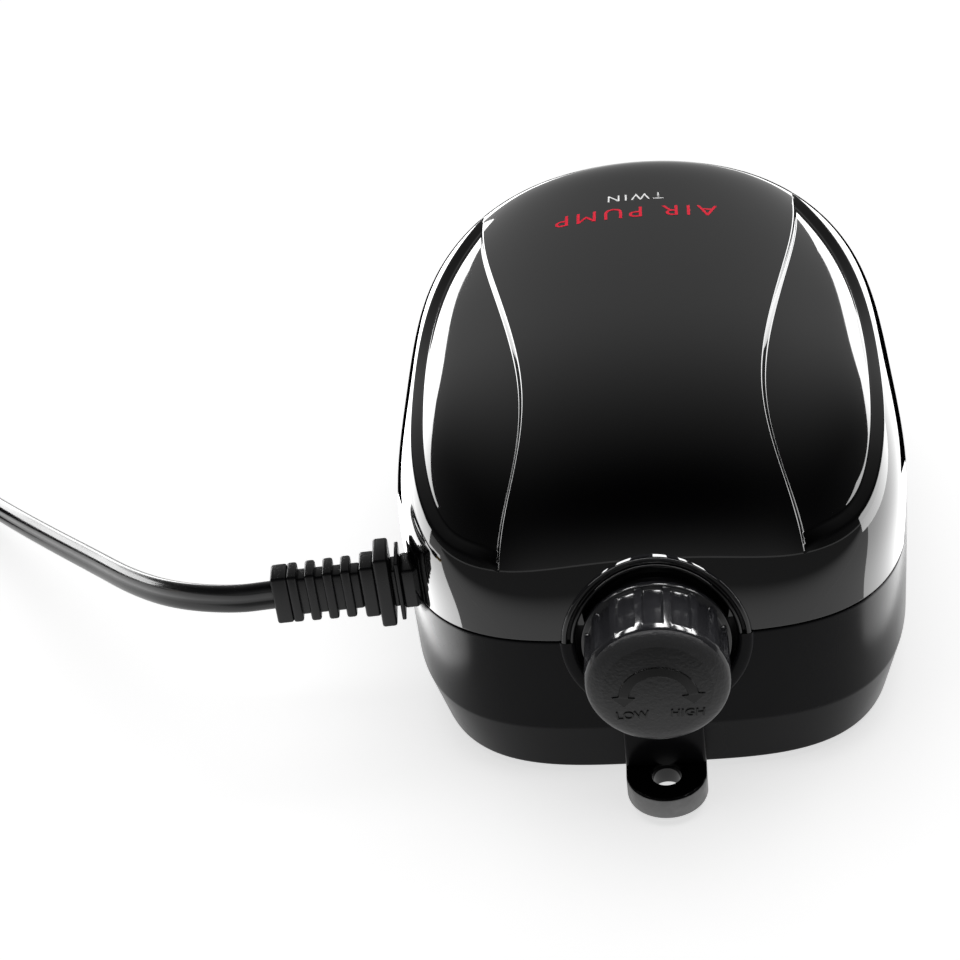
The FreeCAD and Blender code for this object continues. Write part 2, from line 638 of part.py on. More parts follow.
def build_chassis():
    plate = block("chassis_plate_solid", "chassis_width", "chassis_front + chassis_rear", "chassis_top - chassis_low",
                  "0", "(chassis_rear - chassis_front) / 2", "chassis_low")
    tail = block("chassis_tail", "tail_width", "tail_rear", "chassis_top - chassis_low", "0", "tail_rear / 2",
                 "chassis_low")
    window = rod("chassis_air_hole", "filter_radius", "10", "0", "0", "chassis_low - 2")
    node("chassis_plate", cut("chassis_plate", fuse("chassis_solid", plate, tail), window))
    places = corner_places("mount_offset_x", "mount_offset_front", "mount_offset_rear")
    mounts = [cut("mount_" + name, rod("mount_outer_" + name, "mount_radius", "chassis_low - floor_top", x, y,
                                       "floor_top"),
                  rod("mount_hole_" + name, "mount_radius / 2", "10", x, y, "floor_top - 2"))
              for name, x, y in places]
    node("vibration_mounts", group("vibration_mounts", mounts))


def build_core():
    body = new_body("core_laminations")
    sketch = sketch_on(body, "lamination", "XZ_Plane")
    half = [("core_half_width", "chassis_top"), ("core_half_width", "core_top"), ("leg_inner", "core_top"),
            ("leg_inner", "yoke_top"), ("leg_centre", "yoke_top"), ("leg_centre", "core_top")]
    mirrored = [(f"-({across})", up) for across, up in reversed(half)]
    outline(sketch, half + mirrored)
    pad(body, "lamination_stack", sketch, "core_stack", both_ways=True)
    node("core_laminations", place(body, "0", "core_middle"))


def rounded_sleeve(name, inner_x, inner_y, thick, low, high):
    """A rectangular sleeve round the core's centre leg."""
    outer = block(name + "_outer", f"2 * ({inner_x} + {thick})", f"2 * ({inner_y} + {thick})",
                  f"{high} - ({low})", "0", "core_middle", low)
    hole = block(name + "_hole", f"2 * ({inner_x})", f"2 * ({inner_y})", "100", "0", "core_middle", "0")
    return cut(name, outer, hole)


def build_coil():
    inner_x = "leg_centre + bobbin_gap"
    inner_y = "core_stack / 2 + bobbin_gap"
    tube = rounded_sleeve("bobbin_tube", inner_x, inner_y, "bobbin_wall", "bobbin_low", "bobbin_high")
    reach = "(bobbin_wall + bobbin_reach)"
    lower = rounded_sleeve("bobbin_lower", inner_x, inner_y, reach, "bobbin_low", "(bobbin_low + bobbin_flange)")
    upper = rounded_sleeve("bobbin_upper", inner_x, inner_y, reach, "(bobbin_high - bobbin_flange)", "bobbin_high")
    node("coil_bobbin", fuse("coil_bobbin", tube, lower, upper))
    node("copper_winding", rounded_sleeve(
        "copper_winding", inner_x + " + bobbin_wall", inner_y + " + bobbin_wall", "winding_thick",
        "(bobbin_low + bobbin_flange)", "(bobbin_high - bobbin_flange)"))


def build_arm(name, sign):
    x = f"{sign} * side_offset"
    beam = block("arm_beam_" + name, "arm_width", "pivot_y - arm_front", "arm_thick", x,
                 "(pivot_y + arm_front) / 2", "arm_low")
    knuckle = rod("arm_knuckle_" + name, "knuckle_radius", "arm_width", f"{x} - arm_width / 2", "pivot_y",
                  "pivot_z", "X")
    pin_hole = rod("arm_pin_hole_" + name, "pin_radius + pin_clearance", "2 * arm_width", f"{x} - arm_width",
                   "pivot_y", "pivot_z", "X")
    screw_hole = rod("arm_screw_hole_" + name, "screw_radius + screw_gap", "10", x, "head_middle", "arm_low - 2")
    node("armature_arm_" + name, cut("armature_arm_" + name, fuse("arm_solid_" + name, beam, knuckle),
                                     pin_hole, screw_hole))
    node("magnet_" + name, block("magnet_" + name, "magnet_width", "magnet_length", "magnet_thick", x,
                                 "arm_front + magnet_length / 2 + 1", "arm_low - magnet_thick"))
    disc = rod("clamp_disc_" + name, "clamp_radius", "clamp_thick", x, "head_middle", "diaphragm_top")
    stem = rod("clamp_stem_" + name, "stem_radius", "arm_low - diaphragm_top", x, "head_middle", "diaphragm_top")
    hole = rod("clamp_hole_" + name, "screw_radius + screw_gap", "20", x, "head_middle", "diaphragm_top + 0.6")
    node("diaphragm_clamp_" + name, cut("diaphragm_clamp_" + name, fuse("clamp_solid_" + name, disc, stem), hole))
    shank = rod("diaphragm_shank_" + name, "screw_radius", "arm_low + arm_thick - diaphragm_top - 1", x,
                "head_middle", "diaphragm_top + 1")
    head = rod("diaphragm_screw_head_" + name, "screw_head", "1.6", x, "head_middle", "arm_low + arm_thick")
    node("diaphragm_screw_" + name, fuse("diaphragm_screw_" + name, shank, head))


def build_bracket(name, sign):
    x = f"{sign} * side_offset"
    span = "arm_width + 2 * ear_gap + 2 * ear_thick"
    foot = block("bracket_foot_" + name, span, "ear_depth + 4", "bracket_foot", x, "pivot_y", "chassis_top")
    ears = [block(f"bracket_ear_{name}_{index}", "ear_thick", "ear_depth", "ear_top - chassis_top",
                  f"{x} + {way} * (arm_width / 2 + ear_gap + ear_thick / 2)", "pivot_y", "chassis_top")
            for index, way in enumerate((-1, 1))]
    hole = rod("bracket_hole_" + name, "pin_radius", "30", f"{x} - 15", "pivot_y", "pivot_z", "X")
    node("arm_bracket_" + name, cut("arm_bracket_" + name, fuse("bracket_solid_" + name, foot, *ears), hole))
    node("pivot_pin_" + name, rod("pivot_pin_" + name, "pin_radius", span, f"{x} - ({span}) / 2", "pivot_y",
                                  "pivot_z", "X"))


# ---------------------------------------------------------------- pump heads

def screw_corners(name, sign):
    """The four head screws' places about a head's middle, as (name, x, y)."""
    return [(f"{name}_{index}", f"{sign} * side_offset + {across} * screw_pitch",
             f"head_middle + {along} * screw_pitch")
            for index, (across, along) in enumerate(((-1, -1), (1, -1), (-1, 1), (1, 1)))]


def screw_holes(name, sign, low, height):
    return [rod(f"{low}_hole_{corner}".replace(" ", ""), "screw_radius + screw_gap", height, x, y, low)
            for corner, x, y in screw_corners(name, sign)]


def build_head(name, sign):
    x = f"{sign} * side_offset"
    y = "head_middle"
    ports = [(f"{name}_{index}", f"{x} + {way} * port_offset") for index, way in enumerate((-1, 1))]

    manifold = block("manifold_block_" + name, "head_size", "head_size", "manifold_top - chassis_top", x, y,
                     "chassis_top")
    spigot = rod("manifold_spigot_" + name, "spigot_radius", "spigot_length", x, "head_middle + head_size / 2",
                 "outlet_height", "Y")
    plenums = [block("plenum_" + port, "plenum_width", "plenum_length", "20", port_x, y, "plenum_floor")
               for port, port_x in ports]
    outlet = rod("manifold_outlet_" + name, "spigot_bore", "spigot_length + 8", x,
                 "head_middle + head_size / 2 - 7", "outlet_height", "Y")
    link = block("manifold_link_" + name, "8", "3", "3", f"{x} + 3", "head_middle + head_size / 2 - 6.5",
                 "outlet_height - 1.5")
    inlet = rod("manifold_inlet_" + name, "2.4", "10", f"{x} - {sign} * port_offset", "head_middle - head_size / 2 - 4",
                "outlet_height", "Y")
    node("manifold_" + name, cut("manifold_" + name, fuse("manifold_solid_" + name, manifold, spigot), *plenums,
                                 outlet, link, inlet, *screw_holes(name, sign, "chassis_top + 1", "20")))

    gasket = block("gasket_plate_" + name, "head_size", "head_size", "gasket_top - manifold_top", x, y, "manifold_top")
    gasket_holes = [rod("gasket_port_" + port, "flap_radius + 0.6", "4", port_x, y, "manifold_top - 1")
                    for port, port_x in ports]
    node("head_gasket_" + name, cut("head_gasket_" + name, gasket, *gasket_holes,
                                    *screw_holes(name, sign, "manifold_top - 1", "4")))

    plate = block("valve_plate_solid_" + name, "head_size", "head_size", "plate_top - gasket_top", x, y, "gasket_top")
    cylinder = rod("pumping_chamber_" + name, "cylinder_radius", "10", x, y, "cylinder_floor")
    port_cuts = [rod("plate_port_" + port, "port_radius", "4", port_x, y, "gasket_top - 1")
                 for port, port_x in ports]
    node("valve_plate_" + name, cut("valve_plate_" + name, plate, cylinder, *port_cuts,
                                    *screw_holes(name, sign, "gasket_top - 1", "8")))

    intake_flap = rod("intake_flap_" + name, "flap_radius", "flap_thick", ports[0][1], y, "cylinder_floor")
    outlet_flap = rod("outlet_flap_" + name, "flap_radius", "flap_thick", ports[1][1], y, "gasket_top - flap_thick")
    node("valve_flaps_" + name, group("valve_flaps_" + name, [intake_flap, outlet_flap]))

    body = new_body("diaphragm_" + name)
    profile = sketch_on(body, "diaphragm_profile_" + name, "XZ_Plane")
    outline(profile, [
        ("0", "diaphragm_top"), ("crown_radius", "diaphragm_top"), ("cylinder_radius + 0.4", "rim_top"),
        ("rim_radius", "rim_top"), ("rim_radius", "plate_top"), ("cylinder_radius - 0.8", "plate_top"),
        ("crown_radius - 0.8", "diaphragm_top - diaphragm_wall"), ("0", "diaphragm_top - diaphragm_wall")])
    revolve(body, "diaphragm_turned_" + name, profile)
    node("diaphragm_" + name, place(body, x, y))

    retainer = block("retainer_plate_" + name, "head_size", "head_size", "retainer_top - rim_top", x, y, "rim_top")
    node("retaining_plate_" + name, cut(
        "retaining_plate_" + name, retainer, rod("retainer_hole_" + name, "retainer_bore", "10", x, y, "rim_top - 4"),
        *screw_holes(name, sign, "rim_top - 1", "8")))

    screws = []
    for corner, screw_x, screw_y in screw_corners(name, sign):
        shank = rod("head_shank_" + corner, "screw_radius", "retainer_top - chassis_top - 2", screw_x, screw_y,
                    "chassis_top + 2")
        head = rod("head_screw_head_" + corner, "screw_head", "1.4", screw_x, screw_y, "retainer_top")
        screws.append(fuse("head_screw_" + corner, shank, head))
    node("head_screws_" + name, group("head_screws_" + name, screws))


def build_outlet(name, sign):
    x = f"{sign} * side_offset"
    start = "head_middle + head_size / 2 + 0.5"
    tube = rod("air_tube_outer_" + name, "tube_radius", f"tube_rear - ({start})", x, start, "outlet_height", "Y")
    bore = rod("air_tube_bore_" + name, "spigot_radius", "80", x, "head_middle", "outlet_height", "Y")
    node("air_tube_" + name, cut("air_tube_" + name, tube, bore))

    stem = rod("nozzle_stem_" + name, "spigot_radius", "nozzle_tip - nozzle_inner", x, "nozzle_inner",
               "outlet_height", "Y")
    flange = rod("nozzle_flange_" + name, "nozzle_hole + 1.8", "nozzle_wall_side - nozzle_flange", x,
                 "nozzle_flange", "outlet_height", "Y")
    collar = rod("nozzle_collar_" + name, "nozzle_hole - 0.1", "nozzle_collar - nozzle_wall_side", x,
                 "nozzle_wall_side", "outlet_height", "Y")
    bore = rod("nozzle_bore_" + name, "spigot_bore", "60", x, "nozzle_inner - 5", "outlet_height", "Y")
    node("outlet_nozzle_" + name, cut("outlet_nozzle_" + name, fuse("nozzle_solid_" + name, stem, flange, collar),
                                      bore))


# ---------------------------------------------------------------- cord

# The cord's centre line from the strain relief to the coil, then from the coil to the plug.
CORD_ROUTE = (
    (-81.0, -46.8, 35.3), (-93.5, -41.5, 33.0), (-105.0, -30.5, 28.6), (-118.0, -14.0, 22.8),
    (-131.5, 2.2, 17.5), (-145.5, 19.0, 12.4), (-158.5, 35.5, 7.4), (-167.5, 47.5, 3.6),
)
TAIL_ROUTE = ((-243.6, 18.5, 9.1), (-242.6, 5.0, 8.2), (-239.6, -8.0, 7.1), (-235.0, -20.5, 6.5))
PLUG_TURN = -70.0


def relief_point(reach):
    turn = math.radians(mm("relief_turn"))
    return Vector(mm("relief_x") + reach * math.cos(turn), mm("relief_y") + reach * math.sin(turn),
                  mm("seam_height"))


def rounded_path(points, label):
    """Straight runs joined by tangent arcs, each as large as its two runs allow."""
    edges = []
    start = points[0]
    for before, corner, after in zip(points, points[1:], points[2:]):
        back = (before - corner).normalize()
        ahead = (after - corner).normalize()
        shorter = min((before - corner).Length, (after - corner).Length)
        turn = math.pi - back.getAngle(ahead)
        reach = 0.45 * shorter
        radius = reach / math.tan(turn / 2)
        into = corner + back * reach
        out_of = corner + ahead * reach
        inward = (back + ahead).normalize()
        middle = corner + inward * (radius / math.cos(turn / 2) - radius)
        edges.append(Part.LineSegment(start, into).toShape())
        edges.append(Part.Arc(into, middle, out_of).toShape())
        start = out_of
        print(f"{label}: turn {math.degrees(turn):.1f} degrees, radius {radius:.1f} mm")
    edges.append(Part.LineSegment(start, points[-1]).toShape())
    return Part.Wire(edges)


def cord_tube(name, points):
    path = rounded_path(points, name)
    radius = mm("cord_width") / 2
    heading = (points[1] - points[0]).normalize()
    section = Part.Wire([Part.makeCircle(radius, points[0], heading)])
    tube = path.makePipeShell([section], True, False)
    swept = math.pi * radius ** 2 * path.Length
    print(f"{name}: length {path.Length:.1f} mm, volume {tube.Volume:.1f}, section times length {swept:.1f}")
    return node(name, solid_shape(name, tube))


def build_relief():
    """Ribbed rubber strain relief, built along +X from the wall and then turned into place."""
    pieces = (
        ("inner_flange", -7.0, 2.2, 8.4, 13.0), ("neck", -4.8, 6.5, 6.4, 9.0),
        ("thin_plate", 1.7, 0.8, 7.6, 13.4), ("link", 2.5, 1.1, 5.0, 8.6), ("tall_flange", 3.6, 2.9, 7.8, 16.0),
        ("wide_block", 6.5, 2.9, 6.0, 11.8), ("spine", 9.4, 14.1, 3.9, 8.6), ("rib_a", 11.1, 2.0, 5.6, 11.2),
        ("rib_b", 14.55, 2.0, 5.6, 11.1), ("rib_c", 18.0, 2.0, 5.5, 11.0), ("rib_d", 21.45, 2.0, 5.4, 10.9),
        ("end_block", 23.4, 3.2, 5.3, 10.8),
    )
    solids = [block("relief_" + name, length, width, height, start + length / 2, 0, -height / 2)
              for name, start, length, width, height in pieces]
    relief = fuse("strain_relief", *solids)
    node("strain_relief", place(relief, "relief_x", "relief_y", "seam_height",
                                Rotation(Vector(0, 0, 1), mm("relief_turn"))))


def build_cord():
    route = [relief_point(mm("relief_length"))] + [Vector(*point) for point in CORD_ROUTE]
    reach = mm("coil_outer") - mm("cord_width") / 2
    entry = math.radians(mm("coil_entry"))
    coil_side = Vector(mm("coil_centre_x") + reach * math.cos(entry),
                       mm("coil_centre_y") + reach * math.sin(entry), mm("cord_width") / 2)
    cord_tube("power_cord", route + [coil_side])
    coil = cut("cord_coil", rod("coil_body", "coil_outer", "coil_height", "coil_centre_x", "coil_centre_y", "0"),
               rod("coil_hole", "coil_inner", "coil_height + 2", "coil_centre_x", "coil_centre_y", "-1"))
    node("cord_coil", coil)
    far_side = Vector(mm("coil_centre_x") - reach, mm("coil_centre_y"),
                      mm("coil_height") - mm("cord_width") / 2 - 0.2)
    cord_tube("cord_tail", [far_side] + [Vector(*point) for point in TAIL_ROUTE])


def build_plug():
    """Flat two-blade plug, built along +X from the cord's end and then turned into place."""
    end = TAIL_ROUTE[-1]
    turn = Rotation(Vector(0, 0, 1), PLUG_TURN)
    body = new_body("plug_body")
    sketch = sketch_on(body, "plug_plan", "XY_Plane")
    outline(sketch, [
        ("0", "-cord_width / 2 - 0.6"), ("plug_neck", "-cord_width / 2 - 2"), ("plug_neck + 3", "-plug_width / 2"),
        ("plug_neck + plug_length", "-plug_width / 2"), ("plug_neck + plug_length", "plug_width / 2"),
        ("plug_neck + 3", "plug_width / 2"), ("plug_neck", "cord_width / 2 + 2"), ("0", "cord_width / 2 + 0.6")])
    pad(body, "plug_solid", sketch, "plug_height", both_ways=True)
    node("plug_body", place(body, end[0], end[1], end[2], turn))
    blades = [block(f"plug_blade_{index}", "blade_length", "blade_thick", "blade_width",
                    "plug_neck + plug_length + blade_length / 2", f"{way} * blade_offset", "-blade_width / 2")
              for index, way in enumerate((-1, 1))]
    pair = group("plug_blades", blades)
    node("plug_blades", place(pair, end[0], end[1], end[2], turn))


# ---------------------------------------------------------------- build and write

def build():
    build_cover()
    build_base()
    build_feet()
    build_case_screws()
    build_filter()
    build_knob()
    build_control()
    build_board()
    build_chassis()
    build_core()
    build_coil()
    for name, sign in SIDES:
        build_arm(name, sign)
        build_bracket(name, sign)
        build_head(name, sign)
        build_outlet(name, sign)
    build_relief()
    build_cord()
    build_plug()


def check():
    failed = [item.Name for item in doc.Objects if {"Invalid", "Error"} & set(item.State)]
    assert not failed, f"failed objects: {failed}"
    for name, item in NODES.items():
        shape = item.Shape
        assert not shape.isNull() and shape.isValid(), f"bad shape: {name}"
        assert shape.Volume > 1, f"no volume: {name}"


def write():
    os.makedirs("parts", exist_ok=True)
    for name, item in NODES.items():
        item.Shape.exportStep(f"parts/{name}.step")
        box = item.Shape.BoundBox
        print(f"{name}: {len(item.Shape.Solids)} solid(s), {item.Shape.Volume:.0f} mm3, "
              f"x {box.XMin:.1f}..{box.XMax:.1f} y {box.YMin:.1f}..{box.YMax:.1f} z {box.ZMin:.1f}..{box.ZMax:.1f}")


build()
doc.recompute()
check()
write()
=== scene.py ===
import json
import math
import bmesh
import bpy
import numpy as np
from mathutils import Matrix, Vector
from mathutils.geometry import delaunay_2d_cdt


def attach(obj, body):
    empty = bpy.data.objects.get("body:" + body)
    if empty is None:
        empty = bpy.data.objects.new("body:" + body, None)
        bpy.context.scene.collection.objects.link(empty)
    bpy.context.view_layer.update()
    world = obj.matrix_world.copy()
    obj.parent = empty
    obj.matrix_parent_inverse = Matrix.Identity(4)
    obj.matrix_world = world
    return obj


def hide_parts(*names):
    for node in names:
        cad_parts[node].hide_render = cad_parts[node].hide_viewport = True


# Aquarium air pump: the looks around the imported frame. Lengths are in millimetres until a
# mesh is made; +Z is up and the dial faces -Y.

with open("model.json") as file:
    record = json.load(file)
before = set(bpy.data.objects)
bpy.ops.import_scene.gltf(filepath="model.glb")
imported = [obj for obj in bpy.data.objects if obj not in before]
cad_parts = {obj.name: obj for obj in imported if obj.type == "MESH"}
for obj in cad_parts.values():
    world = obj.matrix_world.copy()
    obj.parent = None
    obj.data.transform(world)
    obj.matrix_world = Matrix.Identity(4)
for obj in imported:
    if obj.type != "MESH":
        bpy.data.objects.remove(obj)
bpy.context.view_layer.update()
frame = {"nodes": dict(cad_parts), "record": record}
MM = 0.001
scene = bpy.context.scene

HALF_WIDTH, HALF_LENGTH, OUTLINE_POWER = 50.0, 66.0, 3.72
SEAM, RISE, ARCH_POWER = 35.4, 35.1, 3.6
FRONT_POWER, REAR_POWER = 3.23, 20.0
LEAF_DEPTH, RAMP_WIDTH, RAMP_FILLET = 1.6, 1.1, 0.22
DIAL_HEIGHT, COLLAR_RADIUS, COLLAR_BORE, DIAL_CUT = 34.5, 17.5, 14.7, 17.0
COLLAR_FRONT, COLLAR_SLOPE, COLLAR_STRETCH = 66.2, 0.0594, 0.07
RECESS_BACK, SHAFT_HOLE, UNDERSIDE = 61.0, 3.2, 2.0


# ---------------------------------------------------------------- camera

YAW, ELEVATION, ROLL = (math.radians(angle) for angle in (7.046, 34.141, -7.733))
LENS, TARGET, DISTANCE = 80.51, Vector((-35.448, -6.56, 32.0)), 445

def aim_camera():
    """The camera: in front, above and a little to the right, with a slight roll."""
    level = math.cos(ELEVATION)
    back = Vector((math.sin(YAW) * level, -math.cos(YAW) * level, math.sin(ELEVATION)))
    right = (-back).cross(Vector((0, 0, 1))).normalized()
    up = right.cross(-back)
    turned_right = math.cos(ROLL) * right + math.sin(ROLL) * up
    turned_up = -math.sin(ROLL) * right + math.cos(ROLL) * up
    camera = bpy.data.objects.new("camera", bpy.data.cameras.new("camera"))
    camera.data.sensor_width = 36
    camera.data.lens = LENS
    camera.data.clip_start, camera.data.clip_end = 0.01, 20
    place = Matrix((turned_right, turned_up, back)).transposed().to_4x4()
    place.translation = (TARGET + back * DISTANCE) * MM
    camera.matrix_world = place
    scene.collection.objects.link(camera)
    scene.camera = camera

# ---------------------------------------------------------------- materials

def shader_nodes(name):
    material = bpy.data.materials.new(name)
    material.use_nodes = True
    nodes, links = material.node_tree.nodes, material.node_tree.links
    return material, nodes, links, nodes["Principled BSDF"]


def surface(name, color, roughness, spread, vary, grain, blotch=60.0, metallic=0.0, specular=0.5,
            sheen=0.0, transmission=0.0):
    """Principled material whose roughness and colour wander by spread and vary.

    Grain lists its bump layers as (scale, strength, height).
    """
    material, nodes, links, shader = shader_nodes(name)
    for socket, value in (("Metallic", metallic), ("Specular IOR Level", specular), ("Sheen Weight", sheen),
                          ("Transmission Weight", transmission)):
        shader.inputs[socket].default_value = value
    place = nodes.new("ShaderNodeTexCoord").outputs["Object"]
    patches = nodes.new("ShaderNodeTexNoise")
    patches.inputs["Scale"].default_value = blotch
    patches.inputs["Detail"].default_value = 6
    links.new(place, patches.inputs["Vector"])
    rough = nodes.new("ShaderNodeMapRange")
    rough.inputs["From Min"].default_value = 0.3
    rough.inputs["From Max"].default_value = 0.7
    rough.inputs["To Min"].default_value = max(roughness - spread, 0.01)
    rough.inputs["To Max"].default_value = roughness + spread
    links.new(patches.outputs["Fac"], rough.inputs["Value"])
    links.new(rough.outputs["Result"], shader.inputs["Roughness"])
    tint = nodes.new("ShaderNodeMix")
    tint.data_type = "RGBA"
    tint.inputs["A"].default_value = (*[c * (1 - vary) for c in color], 1)
    tint.inputs["B"].default_value = (*[min(c * (1 + vary), 1) for c in color], 1)
    links.new(patches.outputs["Fac"], tint.inputs["Factor"])
    links.new(tint.outputs["Result"], shader.inputs["Base Color"])
    normal = None
    for scale, strength, height in grain:
        noise = nodes.new("ShaderNodeTexNoise")
        noise.inputs["Scale"].default_value = scale
        noise.inputs["Detail"].default_value = 3
        links.new(place, noise.inputs["Vector"])
        bump = nodes.new("ShaderNodeBump")
        bump.inputs["Strength"].default_value = strength
        bump.inputs["Distance"].default_value = height
        links.new(noise.outputs["Fac"], bump.inputs["Height"])
        if normal is not None:
            links.new(normal, bump.inputs["Normal"])
        normal = bump.outputs["Normal"]
    links.new(normal, shader.inputs["Normal"])
    return material


LOOKS = {
    "gloss_black_plastic": dict(color=(0.0016, 0.0016, 0.0018), roughness=0.035, spread=0.012, vary=0.2,
                                grain=((260, 0.06, 0.00001),)),
    "satin_black_plastic": dict(color=(0.004, 0.004, 0.0045), roughness=0.24, spread=0.05, vary=0.25,
                                specular=0.075, grain=((2600, 0.18, 0.00002), (300, 0.05, 0.00002))),
    "dial_plastic": dict(color=(0.004, 0.004, 0.0045), roughness=0.14, spread=0.03, vary=0.2,
                         grain=((700, 0.06, 0.00002),)),
    "black_rubber": dict(color=(0.0045, 0.0045, 0.005), roughness=0.3, spread=0.1, vary=0.35, specular=0.3,
                         grain=((2400, 0.25, 0.00004), (500, 0.12, 0.00006))),
    "cord_pvc": dict(color=(0.008, 0.008, 0.0085), roughness=0.17, spread=0.05, vary=0.25,
                     grain=((900, 0.1, 0.00003), (180, 0.08, 0.0001))),
    "felt": dict(color=(0.72, 0.71, 0.66), roughness=0.95, spread=0.04, vary=0.15, sheen=0.6,
                 grain=((2200, 0.9, 0.0003), (600, 0.5, 0.0004))),
    "zinc_steel": dict(color=(0.60, 0.60, 0.58), roughness=0.28, spread=0.1, vary=0.1, metallic=1.0,
                       grain=((1500, 0.2, 0.00004),)),
    "lamination_steel": dict(color=(0.30, 0.31, 0.33), roughness=0.42, spread=0.12, vary=0.2, metallic=1.0,
                             grain=((1800, 0.35, 0.00006),)),
    "copper": dict(color=(0.70, 0.27, 0.12), roughness=0.3, spread=0.08, vary=0.15, metallic=1.0,
                   grain=((2500, 0.5, 0.0001),)),
    "natural_nylon": dict(color=(0.80, 0.77, 0.70), roughness=0.5, spread=0.08, vary=0.05,
                          grain=((1200, 0.15, 0.00004),)),
    "grey_plastic": dict(color=(0.16, 0.165, 0.17), roughness=0.5, spread=0.08, vary=0.1,
                         grain=((1600, 0.2, 0.00005),)),
    "arm_aluminium": dict(color=(0.70, 0.71, 0.72), roughness=0.34, spread=0.1, vary=0.06, metallic=1.0,
                          grain=((900, 0.25, 0.00005),)),
    "ferrite": dict(color=(0.055, 0.055, 0.06), roughness=0.5, spread=0.1, vary=0.3, metallic=0.3,
                    grain=((1800, 0.5, 0.00008),)),
    "board_laminate": dict(color=(0.02, 0.12, 0.045), roughness=0.32, spread=0.06, vary=0.2,
                           grain=((1300, 0.15, 0.00004),)),
    "capacitor_case": dict(color=(0.55, 0.38, 0.05), roughness=0.3, spread=0.08, vary=0.1,
                           grain=((800, 0.15, 0.00005),)),
    "silicone": dict(color=(0.72, 0.75, 0.75), roughness=0.3, spread=0.08, vary=0.05, transmission=0.4,
                     grain=((600, 0.1, 0.00005),)),
    "brass_blade": dict(color=(0.72, 0.50, 0.20), roughness=0.25, spread=0.1, vary=0.1, metallic=1.0,
                        grain=((1400, 0.2, 0.00004),)),
    "dial_face": dict(color=(0.010, 0.010, 0.0105), roughness=0.34, spread=0.06, vary=0.3, specular=0.32,
                      grain=((1500, 0.6, 0.00014), (420, 0.3, 0.00016))),
    "legend": dict(color=(0.002, 0.002, 0.002), roughness=0.12, spread=0.03, vary=0.2, specular=0.25,
                   grain=((1200, 0.1, 0.00003),)),
    # Rougher moulded edge of the tab; its pale grey is a painted reflection of the floor, not the plastic's
    # own colour.
    "tab_rim": dict(color=(0.17, 0.17, 0.17), roughness=0.45, spread=0.15, vary=0.5, blotch=300,
                    grain=((500, 0.7, 0.0003),)),
    "print_red": dict(color=(0.6, 0.008, 0.03), roughness=0.6, spread=0.08, vary=0.1, specular=0.08,
                      grain=((1500, 0.2, 0.00003),)),
    "print_white": dict(color=(0.72, 0.72, 0.72), roughness=0.6, spread=0.08, vary=0.05, specular=0.1,
                        grain=((1500, 0.2, 0.00003),)),
}
MATERIALS = {name: surface(name, **look) for name, look in LOOKS.items()}

# ---------------------------------------------------------------- making pieces

def finish_piece(obj, material, body, slot, *replaced):
    obj.data.materials.clear()
    obj.data.materials.append(MATERIALS[material])
    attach(obj, body)
    if replaced:
        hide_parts(*replaced)
    return obj


def mesh_piece(name, points, faces, normals=None, sharp=None):
    """A smooth-shaded object from points in millimetres."""
    mesh = bpy.data.meshes.new(name)
    faces = [tuple(map(int, face)) for face in faces]
    mesh.from_pydata((np.asarray(points, float) * MM).tolist(), [], faces)
    mesh.validate()
    mesh.shade_smooth()
    if sharp is not None:
        mesh.set_sharp_from_angle(angle=math.radians(sharp))
    if normals is not None:
        mesh.normals_split_custom_set_from_vertices(normals.tolist())
    obj = bpy.data.objects.new(name, mesh)
    scene.collection.objects.link(obj)
    return obj


def grid_faces(rows, columns, closed, first=0):
    """Quads between rows of points that follow each other, each row of the same length."""
    faces = []
    for row in range(rows - 1):
        for column in range(columns if closed else columns - 1):
            following = (column + 1) % columns
            low, high = first + row * columns, first + (row + 1) * columns
            faces.append((low + column, low + following, high + following, high + column))
    return faces


def turned(name, profile, origin, axis, count):
    """A lathe form: profile lists (radius, distance along axis)."""
    axis = Vector(axis).normalized()
    side = axis.orthogonal().normalized()
    other = axis.cross(side)
    angles = [2 * math.pi * step / count for step in range(count)]
    points = [tuple(Vector(origin) + axis * along
                    + radius * (side * math.cos(angle) + other * math.sin(angle)))
              for radius, along in profile for angle in angles]
    return mesh_piece(name, points, grid_faces(len(profile), count, True), sharp=32)

def mesh_points(mesh):
    """Points and faces of a mesh."""
    points = np.zeros(len(mesh.vertices) * 3)
    mesh.vertices.foreach_get("co", points)
    return points.reshape(-1, 3), [tuple(polygon.vertices) for polygon in mesh.polygons]

def curve_points(curve):
    """Points and faces of the mesh that a curve or a text makes."""
    holder = bpy.data.objects.new(curve.name, curve)
    scene.collection.objects.link(holder)
    bpy.context.view_layer.update()
    mesh = bpy.data.meshes.new_from_object(holder.evaluated_get(bpy.context.evaluated_depsgraph_get()))
    bpy.data.objects.remove(holder)
    return mesh_points(mesh)

def rounded_box(corner, size, radius):
    """A box mesh with rounded edges, from its lowest corner."""
    block = bmesh.new()
    bmesh.ops.create_cube(block, size=1)
    bmesh.ops.scale(block, verts=block.verts, vec=size)
    bmesh.ops.translate(block, verts=block.verts, vec=[c + s / 2 for c, s in zip(corner, size)])
    bmesh.ops.bevel(block, geom=block.edges, offset=radius, segments=3, affect="EDGES", profile=0.5)
    mesh = bpy.data.meshes.new("block")
    block.to_mesh(mesh)
    block.free()
    return mesh

def plate_outline(points, holes, thick, bevel):
    """A bevelled plate on the XY plane with holes, centred on z=0."""
    curve = bpy.data.curves.new("plate", "CURVE")
    curve.dimensions = "2D"
    curve.fill_mode = "BOTH"
    curve.bevel_depth = bevel
    curve.offset = -bevel
    curve.extrude = thick / 2 - bevel
    curve.bevel_resolution = 2
    for loop in (points, *holes):
        spline = curve.splines.new("POLY")
        spline.points.add(len(loop) - 1)
        for point, (x, y) in zip(spline.points, loop):
            point.co = (x, y, 0, 1)
        spline.use_cyclic_u = True
    return curve_points(curve)

